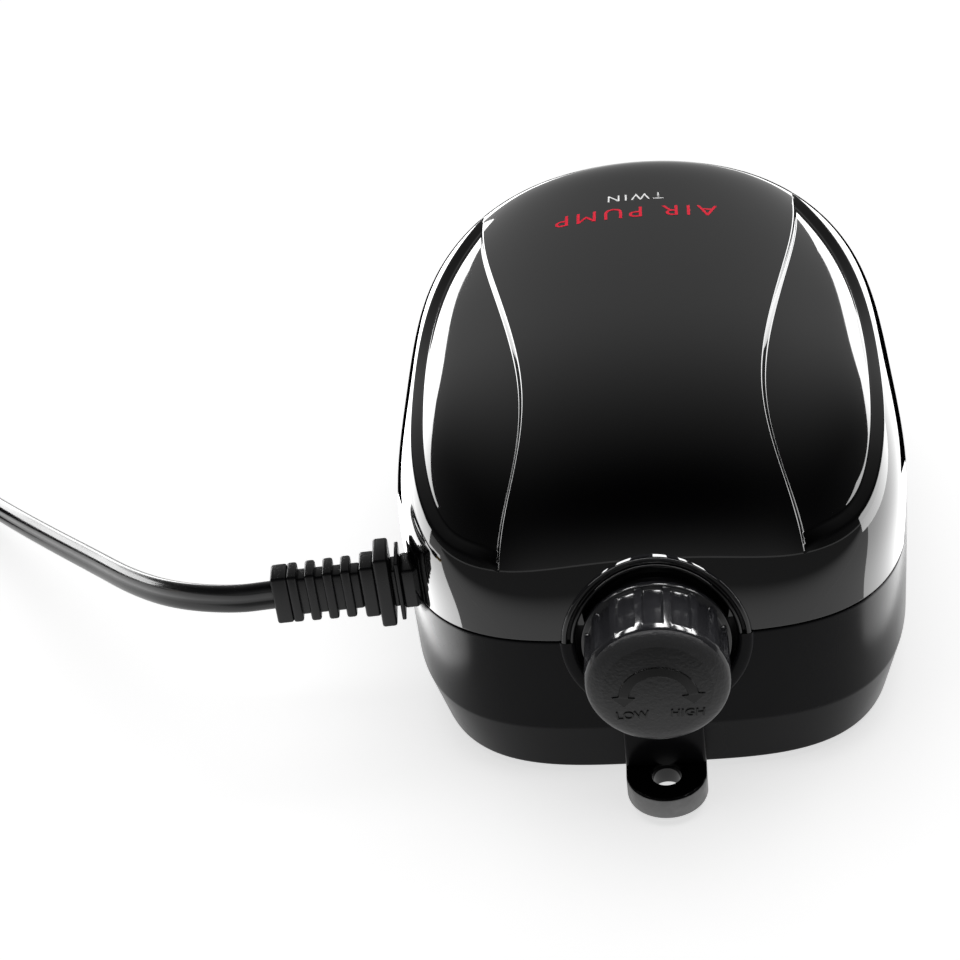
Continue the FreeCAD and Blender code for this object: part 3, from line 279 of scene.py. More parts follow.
def arc(centre, radius, start, end, count):
    """Points along an arc, from one angle in degrees to another."""
    angles = [math.radians(start + (end - start) * step / count) for step in range(count + 1)]
    return [(centre[0] + radius * math.cos(a), centre[1] + radius * math.sin(a)) for a in angles]

def ring(centre, radius, count):
    """Points round a circle."""
    return arc(centre, radius, 0, 360 - 360 / count, count - 1)

def swung(points, angle, place):
    """Points turned about z by an angle and moved to a place."""
    c, s = math.cos(angle), math.sin(angle)
    return points @ np.array([[c, s, 0], [-s, c, 0], [0, 0, 1]]) + np.array(place)

# ---------------------------------------------------------------- case surface

def outline_reach(angle, inset=0.0):
    across, along = np.abs(np.cos(angle)), np.abs(np.sin(angle))
    return ((across / (HALF_WIDTH - inset)) ** OUTLINE_POWER
            + (along / (HALF_LENGTH - inset)) ** OUTLINE_POWER) ** (-1 / OUTLINE_POWER)


def outline_normal(x, y):
    n = np.stack([np.sign(x) * np.abs(x / HALF_WIDTH) ** (OUTLINE_POWER - 1) / HALF_WIDTH,
                  np.sign(y) * np.abs(y / HALF_LENGTH) ** (OUTLINE_POWER - 1) / HALF_LENGTH], -1)
    return n / np.maximum(np.linalg.norm(n, axis=-1, keepdims=True), 1e-12)


def profile_power(y):
    return np.where(y < 0, FRONT_POWER, REAR_POWER)


def half_width(y):
    inside = np.maximum(1 - np.abs(y / HALF_LENGTH) ** OUTLINE_POWER, 1e-9)
    return HALF_WIDTH * inside ** (1 / OUTLINE_POWER)


def crest(y):
    inside = np.maximum(1 - np.abs(y / HALF_LENGTH) ** profile_power(y), 1e-9)
    return RISE * inside ** (1 / ARCH_POWER)


def cover_height(x, y):
    return SEAM + crest(y) * np.maximum(1 - (x / half_width(y)) ** 2, 0) ** (1 / ARCH_POWER)


def cover_normal(x, y, z):
    """Unit normal of the cover's smooth surface, from its formula's gradient."""
    share = np.minimum(np.abs(y / HALF_LENGTH), 0.99999)
    power = profile_power(y)
    sign = np.sign(y) / HALF_LENGTH
    crest_slope = -power * share ** (power - 1) * sign / (1 - share ** power) / ARCH_POWER
    width_slope = -share ** (OUTLINE_POWER - 1) * sign / (1 - share ** OUTLINE_POWER)
    rise = np.clip((z - SEAM) / crest(y), 0, 1)
    side = (x / half_width(y)) ** 2
    gradient = np.stack([2 * x / half_width(y) ** 2,
                         -ARCH_POWER * rise ** ARCH_POWER * crest_slope - 2 * side * width_slope,
                         ARCH_POWER * rise ** (ARCH_POWER - 1) / crest(y)], -1)
    gradient[:, :2] += 1e-6 * outline_normal(x, y)
    return gradient / np.linalg.norm(gradient, axis=1, keepdims=True)


# ---------------------------------------------------------------- leaf facets

def smooth_curve(points, count):
    """A natural cubic spline through points, sampled evenly by chord length."""
    points = np.array(points, float)
    knots = np.concatenate([[0], np.cumsum(np.linalg.norm(np.diff(points, axis=0), axis=1))])
    gaps = np.diff(knots)
    size = len(points)
    system, right = np.eye(size), np.zeros((size, 2))
    for i in range(1, size - 1):
        system[i, i - 1:i + 2] = gaps[i - 1], 2 * (gaps[i - 1] + gaps[i]), gaps[i]
        after, before = (points[i + 1] - points[i]) / gaps[i], (points[i] - points[i - 1]) / gaps[i - 1]
        right[i] = 6 * (after - before)
    bend = np.linalg.solve(system, right)
    at = np.linspace(0, knots[-1], count)
    i = np.clip(np.searchsorted(knots, at, side="right") - 1, 0, size - 2)
    h, before, after = gaps[i][:, None], (at - knots[i])[:, None], (knots[i + 1] - at)[:, None]
    return (bend[i] * after ** 3 / (6 * h) + bend[i + 1] * before ** 3 / (6 * h)
            + (points[i] / h - bend[i] * h / 6) * after
            + (points[i + 1] / h - bend[i + 1] * h / 6) * before)


LEAF_TIPS = ((27.4, -62.4), (33.9, 51.5))
LEAF_OUTER = ((36.9, -56.2), (43.5, -40.0), (45.8, -18.0), (46.3, 6.0), (42.3, 32.0))
LEAF_INNER = ((33.2, 37.0), (29.3, 13.0), (24.4, -13.0), (22.3, -36.0), (24.0, -51.0))
LEAF_RUNS = (smooth_curve((LEAF_TIPS[0], *LEAF_OUTER, LEAF_TIPS[1]), 240),
             smooth_curve((LEAF_TIPS[1], *LEAF_INNER, LEAF_TIPS[0]), 240))
LEAF_LOOP = np.concatenate([run[:-1] for run in LEAF_RUNS])
LEAF_NEXT = np.roll(LEAF_LOOP, -1, axis=0)


def leaf_distance(x, y):
    """Plan distance inside the right-hand leaf's outline (negative outside), and its gradient."""
    points = np.stack([x, y], -1)
    reach, slope = np.full(len(points), -99.0), np.zeros((len(points), 2))
    near = np.where((x > 18) & (x < 51) & (y > -66) & (y < 57))[0]
    span = LEAF_NEXT - LEAF_LOOP
    for part in np.array_split(near, max(len(near) // 3000, 1)):
        p = points[part][:, None]
        share = np.clip(((p - LEAF_LOOP) * span).sum(2) / (span ** 2).sum(1), 0, 1)
        away = p - (LEAF_LOOP + share[..., None] * span)
        gap = np.linalg.norm(away, axis=2)
        closest = gap.argmin(1)
        rows = np.arange(len(part))
        crosses = ((LEAF_LOOP[:, 1] > p[..., 1]) != (LEAF_NEXT[:, 1] > p[..., 1])) & (
            p[..., 0] < span[:, 0] * (p[..., 1] - LEAF_LOOP[:, 1]) / (span[:, 1] + 1e-12) + LEAF_LOOP[:, 0])
        sign = np.where(crosses.sum(1) % 2 == 1, 1.0, -1.0)
        distance = gap[rows, closest]
        inward = np.stack([-span[closest, 1], span[closest, 0]], -1)
        inward /= np.linalg.norm(inward, axis=1, keepdims=True)
        direct = away[rows, closest] * sign[:, None] / np.maximum(distance, 1e-9)[:, None]
        reach[part] = sign * distance
        slope[part] = np.where(distance[:, None] > 0.05, direct, inward)
    return reach, slope


def ramp_integral(t):
    return np.where(t < 0, 0, np.where(t < RAMP_WIDTH, t * t / (2 * RAMP_WIDTH), t - RAMP_WIDTH / 2))


def ramp(t):
    """Depth of the facet, 0 outside and 1 inside, with rounded edges, and its slope."""
    level = np.clip(t, -9, 9)
    depth = (ramp_integral(level + RAMP_FILLET) - ramp_integral(level - RAMP_FILLET)) / (2 * RAMP_FILLET)
    steep = (np.clip((level + RAMP_FILLET) / RAMP_WIDTH, 0, 1)
             - np.clip((level - RAMP_FILLET) / RAMP_WIDTH, 0, 1)) / (2 * RAMP_FILLET)
    return depth, steep


def leaf_rows():
    """Loops at set distances from the leaf's outline, in plan."""
    loops = []
    for distance in (-0.7, -0.23, -0.1, 0.0, 0.1, 0.23, 0.55, 0.87, 1.0, 1.1, 1.2, 1.33, 1.9, 2.7):
        loop = []
        for index, run in enumerate(LEAF_RUNS):
            ahead = np.gradient(run, axis=0)
            ahead /= np.linalg.norm(ahead, axis=1, keepdims=True)
            inward = np.stack([-ahead[:, 1], ahead[:, 0]], -1)
            moved = run + inward * distance
            reach, _ = leaf_distance(moved[:, 0], moved[:, 1])
            loop += [tuple(p) for p in moved[np.abs(reach - distance) < 0.03]]
            if distance < 0:
                following = LEAF_RUNS[1 - index]
                turn = np.gradient(following, axis=0)[0]
                start = math.atan2(-inward[-1][1], -inward[-1][0])
                end = math.atan2(-turn[0], turn[1])
                sweep = (end - start) % (2 * math.pi)
                loop += [tuple(run[-1] - distance * np.array([math.cos(start + sweep * k / 9),
                                                              math.sin(start + sweep * k / 9)]))
                         for k in range(1, 9)]
        kept = [loop[0]]
        for point in loop[1:]:
            if math.dist(point, kept[-1]) > 0.12:
                kept.append(point)
        loops.append(np.array(kept))
    return loops


# ---------------------------------------------------------------- cover

def meridians(angles, samples=140):
    """Steps towards the outline, and the arc length from the top to each step in each direction."""
    steps = np.linspace(0, 1, samples)
    share = 1 - (1 - steps) ** 4
    reach = outline_reach(angles)[:, None] * share
    x, y = reach * np.cos(angles)[:, None], reach * np.sin(angles)[:, None]
    z = cover_height(x, y)
    z[:, -1] = SEAM
    length = np.cumsum(np.hypot(np.diff(reach, axis=1), np.diff(z, axis=1)), axis=1)
    return steps, np.hstack([np.zeros((len(angles), 1)), length])


def unrolled(points):
    """Flattened-out place of plan points: direction kept, distance measured along the surface."""
    angles = np.arctan2(points[:, 1], points[:, 0])
    steps, length = meridians(angles)
    part = np.hypot(points[:, 0], points[:, 1]) / outline_reach(angles)
    at = 1 - np.maximum(1 - part, 0) ** 0.25
    distance = np.array([np.interp(a, steps, row) for a, row in zip(at, length)])
    return np.stack([distance * np.cos(angles), distance * np.sin(angles)], -1)


def rolled(places):
    """Plan points of flattened-out places."""
    angles = np.arctan2(places[:, 1], places[:, 0])
    steps, length = meridians(angles)
    distance = np.hypot(places[:, 0], places[:, 1])
    at = np.array([np.interp(d, row, steps) for d, row in zip(distance, length)])
    edge = distance > length[:, -1] * (1 - 1e-5)
    reach = outline_reach(angles) * np.where(edge, 1, 1 - (1 - at) ** 4)
    return np.stack([reach * np.cos(angles), reach * np.sin(angles)], -1), edge


def build_cover():
    """The cover: leaf facets sunk into its smooth surface, and a rounded edge along the seam."""
    around, rings = 400, 66
    outside_leaf, inside_leaf, rim_gap = -1.2, 3.3, 0.6
    angles = 2 * np.pi * np.arange(around) / around
    _, length = meridians(angles)
    share = np.linspace(0, 1, rings)[1:]
    inner = []
    for part in share[:-1]:
        thin = 1 if part > 0.28 else (4 if part > 0.08 else 16)
        chosen = slice(0, around, thin)
        distance = part * length[chosen, -1]
        inner.append(np.stack([distance * np.cos(angles[chosen]), distance * np.sin(angles[chosen])], -1))
    inner = np.concatenate(inner)
    plan, _ = rolled(inner)
    reach, _ = leaf_distance(np.abs(plan[:, 0]), plan[:, 1])
    inner = inner[(reach < outside_leaf) | (reach > inside_leaf)]
    border = np.stack([length[:, -1] * np.cos(angles), length[:, -1] * np.sin(angles)], -1)
    points, edges = [*map(Vector, border)], [(i, (i + 1) % around) for i in range(around)]
    for loop in leaf_rows():
        for side in (1, -1):
            row = unrolled(loop * np.array([side, 1]))
            first = len(points)
            points += map(Vector, row)
            edges += [(first + i, first + (i + 1) % len(row)) for i in range(len(row))]
    bearing = np.radians(np.linspace(-86, 86, 120))
    across, height = DIAL_CUT * np.sin(bearing), DIAL_HEIGHT + DIAL_CUT * np.cos(bearing)
    rim = unrolled(np.stack([across, front_of_case(across, height)], -1))
    edges += [(len(points) + i, len(points) + i + 1) for i in range(len(rim) - 1)]
    points += map(Vector, rim)
    near_rim = np.linalg.norm(inner[:, None] - rim[None], axis=2).min(1) < rim_gap
    points += map(Vector, inner[~near_rim])
    points.append(Vector((0, 0)))
    places, _, faces, *_ = delaunay_2d_cdt(points, edges, [], 0, 1e-6)
    places = np.array([tuple(p) for p in places])
    plan, edge = rolled(places)
    x, y = plan[:, 0], plan[:, 1]
    z = np.where(edge, SEAM, cover_height(x, y))
    normals = cover_normal(x, y, z)
    mirrored = np.sign(x)
    reach, slope = leaf_distance(np.abs(x), y)
    depth, steep = ramp(reach)
    place = np.stack([x, y, z], -1) - normals * (LEAF_DEPTH * depth)[:, None]
    across = np.stack([slope[:, 0] * mirrored, slope[:, 1], np.zeros(len(x))], -1)
    across -= normals * (across * normals).sum(1)[:, None]
    normals = normals + LEAF_DEPTH * steep[:, None] * across
    normals /= np.linalg.norm(normals, axis=1, keepdims=True)
    lift = 0.35
    place[:, 2] = SEAM + lift + (place[:, 2] - SEAM) * (RISE - lift) / RISE

    order = np.argsort(np.arctan2(places[edge, 1], places[edge, 0]))
    border_index = np.where(edge)[0][order]
    kept = [face for face in faces if not all(edge[i] for i in face)]
    points = [place]
    shading = [normals]
    count = len(place)
    columns = len(border_index)
    rows = [border_index]
    rim_angles = np.arctan2(places[border_index, 1], places[border_index, 0])
    for inset, drop, tilt in ((0.05, 0.16, 0.38), (0.14, 0.26, 0.8), (0.34, 0.31, 1.0), (2.6, 0.31, 1.0)):
        reach = outline_reach(rim_angles, inset)
        rim = np.stack([reach * np.cos(rim_angles), reach * np.sin(rim_angles),
                        np.full(columns, SEAM + lift - drop)], -1)
        flat = outline_normal(rim[:, 0], rim[:, 1])
        points.append(rim)
        shading.append(np.hstack([flat * math.sqrt(1 - tilt * tilt), np.full((columns, 1), -tilt)]))
        rows.append(count + np.arange(columns))
        count += columns
    for upper, lower in zip(rows, rows[1:]):
        for i in range(columns):
            after = (i + 1) % columns
            kept.append((upper[i], lower[i], lower[after], upper[after]))
    points, shading = np.concatenate(points), np.concatenate(shading)
    outside = []
    for face in kept:
        middle = points[list(face)].mean(0)
        if middle[1] > 0 or math.hypot(middle[0], middle[2] - DIAL_HEIGHT) > DIAL_CUT:
            outside.append(face)
    shell = mesh_piece("cover_shell", points, outside, normals=shading)
    finish_piece(shell, "gloss_black_plastic", "root", "gloss_black_plastic", "top_cover")


# ---------------------------------------------------------------- base

def skirt_inset(z):
    """Inset of the base's wall, with the crease above the skirt slightly rounded."""
    heights, insets, soft = [UNDERSIDE, 14.2, SEAM], [3.2, 0.3, 0.0], 0.35
    return np.mean([np.interp(z + soft * k, heights, insets) for k in np.linspace(-1, 1, 9)], axis=0)

def build_base():
    """The base: its wall with the skirt and the seam's edge, and its underside with the recesses."""
    around, hole_count = 400, 48
    angles = 2 * np.pi * np.arange(around) / around
    heights = np.concatenate([[2.62, 3.0, 4.0, 6.0, 8.0, 10.0, 12.0, 13.2, 13.7], np.arange(13.9, 14.6, 0.1),
                              [14.9, 15.6], np.arange(16.6, 34.0, 1.2), [34.6, 35.0]])
    levels = [(3.9, 2.0), (3.55, 2.02), (3.3, 2.12), (3.13, 2.3)]
    levels += [(float(skirt_inset(h)), float(h)) for h in heights]
    levels += [(0.05, 35.16), (0.14, 35.26), (0.34, 35.31), (2.6, 35.31)]
    points = []
    for inset, height in levels:
        reach = outline_reach(angles, inset)
        points += zip(reach * np.cos(angles), reach * np.sin(angles), np.full(around, height))
    faces = grid_faces(len(levels), around, True)
    holes = [((x, y), 3.3, 5.6) for x in (-34, 34) for y in (-45, 45)] + [((0, 0), 10.8, 4.6)]
    flat = [Vector(p[:2]) for p in points[:around]]
    edges = [(i, (i + 1) % around) for i in range(around)]
    for centre, radius, _ in holes:
        first = len(flat)
        flat += [Vector(p) for p in ring(centre, radius, hole_count)]
        edges += [(first + i, first + (i + 1) % hole_count) for i in range(hole_count)]
    plate, _, triangles, *_ = delaunay_2d_cdt(flat, edges, [], 0, 1e-5)
    first = len(points)
    points += [(p[0], p[1], UNDERSIDE) for p in plate]
    for triangle in triangles:
        middle = sum((Vector(plate[i]) for i in triangle), Vector((0, 0))) / 3
        if all((middle - Vector(centre)).length > radius * 0.999 for centre, radius, _ in holes):
            faces.append(tuple(first + i for i in reversed(triangle)))
    for centre, radius, top in holes:
        first, rim = len(points), ring(centre, radius, hole_count)
        roof, middle = first + hole_count, first + 2 * hole_count
        points += [(x, y, UNDERSIDE) for x, y in rim] + [(x, y, top) for x, y in rim] + [(*centre, top)]
        faces += grid_faces(2, hole_count, True, first)
        faces += [(roof + i, roof + (i + 1) % hole_count, middle) for i in range(hole_count)]
    kept = []
    for face in faces:
        x, y, z = np.mean([points[i] for i in face], axis=0)
        if y > 0 or z < 3 or math.hypot(x, z - DIAL_HEIGHT) > DIAL_CUT - 0.6:
            kept.append(face)
    shell = mesh_piece("base_shell", points, kept, sharp=40)
    finish_piece(shell, "satin_black_plastic", "root", "satin_black_plastic", "base_housing")

# ---------------------------------------------------------------- collar and tab

def front_of_case(x, z):
    """Where the case's front surface lies at a place seen from the front."""
    low, high = np.full(len(x), -HALF_LENGTH), np.zeros(len(x))
    wall_inset = skirt_inset(np.minimum(z, SEAM))
    wall = -(HALF_LENGTH - wall_inset) * (1 - np.abs(x / (HALF_WIDTH - wall_inset)) ** OUTLINE_POWER) ** (
        1 / OUTLINE_POWER)
    for _ in range(40):
        middle = (low + high) / 2
        above = cover_height(x, middle) > z
        high = np.where(above, middle, high)
        low = np.where(above, low, middle)
    return np.where(z > SEAM, (low + high) / 2, wall)


def collar_part(name, start, end, profile, proud, slot):
    """Part of the ring round the dial; profile lists (radius, set back from the front)."""
    steps = 160
    angles = np.radians(np.linspace(start, end, steps))
    sin, cos = np.sin(angles), np.cos(angles)
    stretch = 1 + COLLAR_STRETCH * np.maximum(cos, 0) ** 2
    leaning = -COLLAR_FRONT + COLLAR_SLOPE * COLLAR_RADIUS * cos
    skin = front_of_case(COLLAR_RADIUS * sin, DIAL_HEIGHT + COLLAR_RADIUS * stretch * cos) - proud
    gap = leaning - skin
    front = leaning - (gap + np.sqrt(gap * gap + 0.3)) / 2
    points = []
    for radius, back in profile:
        y = np.full(steps, -RECESS_BACK) if back is None else front + back
        points += zip(radius * sin, y, DIAL_HEIGHT + radius * stretch * cos)
    part = mesh_piece(name, points, grid_faces(len(profile), steps, False), sharp=50)
    finish_piece(part, slot, "root", slot)

def build_collar():
    """The ring round the dial: a ridged upper half on the cover and a plain lower half on the base."""
    bore = [(COLLAR_BORE, 1.8), (COLLAR_BORE, None), (SHAFT_HOLE, None)]
    ridges = [(17.9, 5.0), (17.55, 1.4), (17.42, 0.8), (17.33, 0.42), (17.15, 0.16), (16.9, 0.03),
              (16.65, 0.0), (16.42, 0.07), (16.28, 0.24), (16.2, 0.5), (16.1, 0.72), (15.96, 0.8),
              (15.8, 0.74), (15.7, 0.5), (15.6, 0.34), (15.42, 0.25), (15.2, 0.28), (15.0, 0.42),
              (14.84, 0.68), (14.74, 1.1)] + bore
    plain = [(18.6, 6.5), (18.25, 3.4), (17.85, 1.2), (17.65, 0.55), (17.4, 0.2), (17.1, 0.06), (16.7, 0.0),
             (15.6, 0.12), (15.3, 0.2), (15.05, 0.36), (14.86, 0.66), (14.75, 1.1)] + bore
    collar_part("collar_upper", -86.6, 86.6, ridges, 0.55, "gloss_black_plastic")
    collar_part("collar_lower", 87.2, 272.8, plain, 0.3, "satin_black_plastic")

def build_tab():
    """Hanging tab with its hole, its rougher front rim painted paler as a painted reflection of the floor,
    and the web that joins it to the collar.
    """
    half, centre, back = 7.6, -70.8, -60.0
    outer = arc((0, centre), half, 180, 360, 40) + [(half, back), (-half, back)]
    points, faces = plate_outline(outer, [ring((0, centre - 0.4), 2.75, 45)], 4.8, 0.55)
    points[:, 2] += 4.4
    tab = mesh_piece("hanging_tab", points, faces, sharp=45)
    finish_piece(tab, "gloss_black_plastic", "root", "satin_black_plastic")
    # The tab's front-facing side faces get the pale rim material: a painted reflection of the floor on a
    # rougher moulded edge.
    tab.data.materials.append(MATERIALS["tab_rim"])
    for face in tab.data.polygons:
        if abs(face.normal.z) < 0.5 and face.normal.y < -0.1 and face.center.y < centre * MM:
            face.material_index = 1
    points, faces = mesh_points(rounded_box((-half, -68.4, 2.3), (2 * half, 5.4, 18.0), 0.7))
    web = mesh_piece("tab_web", points, faces, sharp=45)
    finish_piece(web, "satin_black_plastic", "root", "satin_black_plastic")

# ---------------------------------------------------------------- dial

# Sections of the knob from back to front: (y, radius of the panels, radius of the ribs).
KNOB_SECTIONS = (
    (-61.8, 3.3, 3.3), (-61.8, 11.5, 11.5), (-65.6, 11.5, 11.5), (-65.6, 13.45, 13.45),
    (-65.72, 13.66, 13.66), (-65.9, 13.7, 13.7), (-66.5, 13.7, 13.7), (-66.7, 13.64, 13.64),
    (-66.8, 13.45, 13.45), (-66.82, 12.7, 13.25), (-67.0, 12.52, 13.2), (-67.4, 12.45, 13.2),
    (-70.0, 12.45, 13.2), (-73.0, 12.45, 13.2), (-75.6, 12.45, 13.2), (-76.0, 12.5, 13.2),
    (-76.3, 12.66, 13.2), (-76.7, 12.98, 13.2), (-76.9, 13.08, 13.19), (-77.2, 13.13, 13.16),
    (-77.6, 13.06, 13.08), (-78.0, 12.9, 12.9), (-78.4, 12.62, 12.62), (-78.75, 12.25, 12.25),
    (-79.05, 11.78, 11.78), (-79.3, 11.2, 11.2), (-79.5, 10.55, 10.55), (-79.66, 9.8, 9.8),
)
FACE_RADIUS, FACE_RIM, FACE_FRONT, TEXTURE_START = 9.8, -79.66, -80.5, -78.3

def face_depth(radius):
    """The dial face's gentle dome."""
    return FACE_FRONT + (FACE_RIM - FACE_FRONT) * (np.minimum(radius, FACE_RADIUS) / FACE_RADIUS) ** 2

def build_knob():
    """The ribbed knob and its domed face."""
    around, ribs, rib_radius, rib_half, soft, thin = 768, 16, 13.2, 0.62, 0.34, 6
    angles = 2 * np.pi * np.arange(around) / around
    pitch = 2 * np.pi / ribs
    offset = np.abs((angles % pitch) - pitch / 2) * rib_radius
    mask = np.clip((rib_half + soft - offset) / soft, 0, 1)
    mask = mask * mask * (3 - 2 * mask)
    points = []
    for y, panel, rib in KNOB_SECTIONS:
        radius = panel + (rib - panel) * mask
        points += zip(radius * np.sin(angles), np.full(around, y), DIAL_HEIGHT + radius * np.cos(angles))
    knob = mesh_piece("dial_knob", points, grid_faces(len(KNOB_SECTIONS), around, True), sharp=55)
    finish_piece(knob, "dial_plastic", "dial", "dial_plastic", "control_knob")
    knob.data.materials.append(MATERIALS["dial_face"])
    for face in knob.data.polygons:
        if face.center.y < TEXTURE_START * MM:
            face.material_index = 1
    turn, columns = angles[::thin], around // thin
    rings = np.linspace(FACE_RADIUS, 0.0, 30)[:-1]
    points = []
    for radius in rings:
        points += zip(radius * np.sin(turn), np.full(columns, face_depth(radius)),
                      DIAL_HEIGHT + radius * np.cos(turn))
    faces = grid_faces(len(rings), columns, True)
    last = (len(rings) - 1) * columns
    faces += [(last + i, last + (i + 1) % columns, len(points)) for i in range(columns)]
    points.append((0, FACE_FRONT, DIAL_HEIGHT))
    finish_piece(mesh_piece("dial_face", points, faces), "dial_face", "dial", "dial_plastic")

def draped(name, points, faces, lift):
    """Put a flat shape, given in the face's plane with its thickness along z, on the dial's face."""
    depth = face_depth(np.hypot(points[:, 0], points[:, 1])) - points[:, 2] - lift
    place = np.stack([points[:, 0], depth, DIAL_HEIGHT + points[:, 1]], -1)
    finish_piece(mesh_piece(name, place, faces, sharp=40), "legend", "dial", "dial_plastic")

def text_points(words, size, thick, bevel, spread):
    """Points and faces of words on the XY plane."""
    text = bpy.data.curves.new("words", "FONT")
    text.body = words
    text.size = size
    text.extrude = thick
    text.bevel_depth = bevel
    text.bevel_resolution = 1
    text.resolution_u = 4
    text.space_character = spread
    text.align_x, text.align_y = "CENTER", "CENTER"
    return curve_points(text)

def build_legends():
    """Double-headed arrow and the LOW and HIGH legends on the dial's face."""
    inner, outer, head, drop, rise, sink, inset = 5.2, 7.3, 1.15, -1.5, 0.2, -0.12, 0.2
    middle = (inner + outer) / 2
    barb = ((inner - head, 0.5), (outer + head, 0.5))
    point = ((middle, -1.9), (middle, -1.9))
    band = [tuple((r * math.cos(a), r * math.sin(a)) for r in (inner, outer))
            for a in np.radians(np.linspace(6, 174, 60))]
    left = [tuple((-x, y) for x, y in pair) for pair in (barb, point)]
    stations = np.array([point, barb, *band, *left])
    centres = stations.mean(1, keepdims=True)
    reach = np.maximum(np.linalg.norm(stations - centres, axis=2, keepdims=True), 0.01)
    tops = stations + (centres - stations) * inset / np.maximum(reach, inset)
    tops[[0, -1], :, 1] += 2 * inset
    low, high = np.full(len(stations), sink), np.full(len(stations), rise)
    columns = [(stations[:, 0], low), (tops[:, 0], high), (tops[:, 1], high), (stations[:, 1], low)]
    points = np.stack([np.column_stack([flat, lift]) for flat, lift in columns], 1).reshape(-1, 3)
    points[:, 1] += drop
    draped("dial_arrow", points, grid_faces(len(stations), 4, False), 0.0)
    for words, x, turn in (("LOW", -4.9, 5), ("HIGH", 5.0, -5)):
        points, faces = text_points(words, 2.5, 0.08, 0.05, 1.05)
        draped("legend_" + words.lower(), swung(points, math.radians(turn), (x, -5.3, 0)), faces, 0.05)

def build_print():
    """Generic printed words on top of the cover, read from behind."""
    for name, words, size, y, material in (("print_name", "AIR PUMP", 6.4, 33.4, "print_red"),
                                           ("print_note", "TWIN", 3.9, 40.2, "print_white")):
        points, faces = text_points(words, size, 0.0, 0.0, 1.3)
        x, y = -points[:, 0], y - points[:, 1]
        place = np.stack([x, y, cover_height(x, y) + 0.05], -1)
        finish_piece(mesh_piece(name, place, faces), material, "root", "gloss_black_plastic")

# ---------------------------------------------------------------- outlets

def build_outlets():
    """Barbed outlet nozzles on the rear wall."""
    profile = [(1.5, 3.0), (1.5, 14.5), (1.85, 14.5), (2.0, 14.3), (2.4, 11.4), (2.4, 11.1), (2.1, 11.0),
               (2.1, 10.2), (2.4, 7.6), (2.4, 7.3), (2.1, 7.2), (2.1, 2.9), (2.3, 2.6), (3.1, 2.55),
               (3.28, 2.4), (3.3, 2.2), (3.3, -3.6)]
    for side, x in (("left", -19), ("right", 19)):
        nozzle = turned("outlet_" + side, profile, (x, HALF_LENGTH, 20), (0, 1, 0), 48)
        finish_piece(nozzle, "satin_black_plastic", "root", "satin_black_plastic", "outlet_nozzle_" + side)

# ---------------------------------------------------------------- strain relief and cord

RELIEF_WALL = Vector((-46.7, -43.9, 35.4))
RELIEF_TURN = math.radians(184.5)
RELIEF_LENGTH = 26.6
RELIEF_PARTS = (
    (-4.8, 6.5, 6.4, 9.0), (1.7, 0.8, 7.6, 13.4), (2.5, 1.1, 5.0, 8.6), (3.6, 2.9, 7.8, 16.0),
    (6.5, 2.9, 6.0, 11.8), (9.4, 14.1, 3.9, 8.6), (11.1, 2.0, 5.6, 11.2), (14.55, 2.0, 5.6, 11.1),
    (18.0, 2.0, 5.5, 11.0), (21.45, 2.0, 5.4, 10.9), (23.4, 3.2, 5.3, 10.8),
)


def build_relief():
    """The ribbed strain relief, its parts one after another from the case's wall."""
    whole = bmesh.new()
    for start, length, width, height in RELIEF_PARTS:
        radius = min(0.55, length * 0.3)
        whole.from_mesh(rounded_box((start, -width / 2, -height / 2), (length, width, height), radius))
    mesh = bpy.data.meshes.new("relief")
    whole.to_mesh(mesh)
    whole.free()
    points, faces = mesh_points(mesh)
    relief = mesh_piece("cord_relief", swung(points, RELIEF_TURN, RELIEF_WALL), faces, sharp=50)
    return finish_piece(relief, "black_rubber", "root", "black_rubber", "strain_relief")

CORD_ROUTE = (
    (-81.0, -46.8, 35.3), (-93.5, -41.5, 33.0), (-105.0, -30.5, 28.6), (-118.0, -14.0, 22.8),
    (-131.5, 2.2, 17.5), (-145.5, 19.0, 12.4), (-158.5, 35.5, 7.4), (-167.5, 47.5, 3.6),
)
TAIL_ROUTE = ((-243.6, 18.5, 9.1), (-242.6, 5.0, 8.2), (-239.6, -8.0, 7.1), (-235.0, -20.5, 6.5))
COIL_CENTRE, COIL_ENTRY = (-204.0, 32.0), 40.5
COIL_OUTER, COIL_PITCH, LAYER_LOW, LAYER_HIGH = 39.0, 3.5, 3.0, 9.2


def coil_points():
    """The coil's turns: inwards on the floor, up at the inside, and outwards on top."""
    lower, climb, upper, per_turn = 2.9, 0.5, 2.9875, 16
    inner = COIL_OUTER - COIL_PITCH * lower
    points = []
    steps = round((lower + climb + upper) * per_turn)
    for step in range(steps + 1):
        turn = (lower + climb + upper) * step / steps
        if turn < lower:
            radius, height = COIL_OUTER - COIL_PITCH * turn, LAYER_LOW
        elif turn < lower + climb:
            share = (turn - lower) / climb
            radius = inner - 2.2 * math.sin(math.pi * share)
            height = LAYER_LOW + (LAYER_HIGH - LAYER_LOW) * share * share * (3 - 2 * share)
        else:
            radius = inner + (COIL_OUTER - inner) * (turn - lower - climb) / upper
            height = LAYER_HIGH
        angle = math.radians(COIL_ENTRY) + 2 * math.pi * turn
        points.append((COIL_CENTRE[0] + radius * math.cos(angle),
                       COIL_CENTRE[1] + radius * math.sin(angle), height))
    return points


def relief_point(reach):
    """A place on the strain relief's axis, so far out from the case's wall."""
    return tuple(RELIEF_WALL + reach * Vector((math.cos(RELIEF_TURN), math.sin(RELIEF_TURN), 0)))


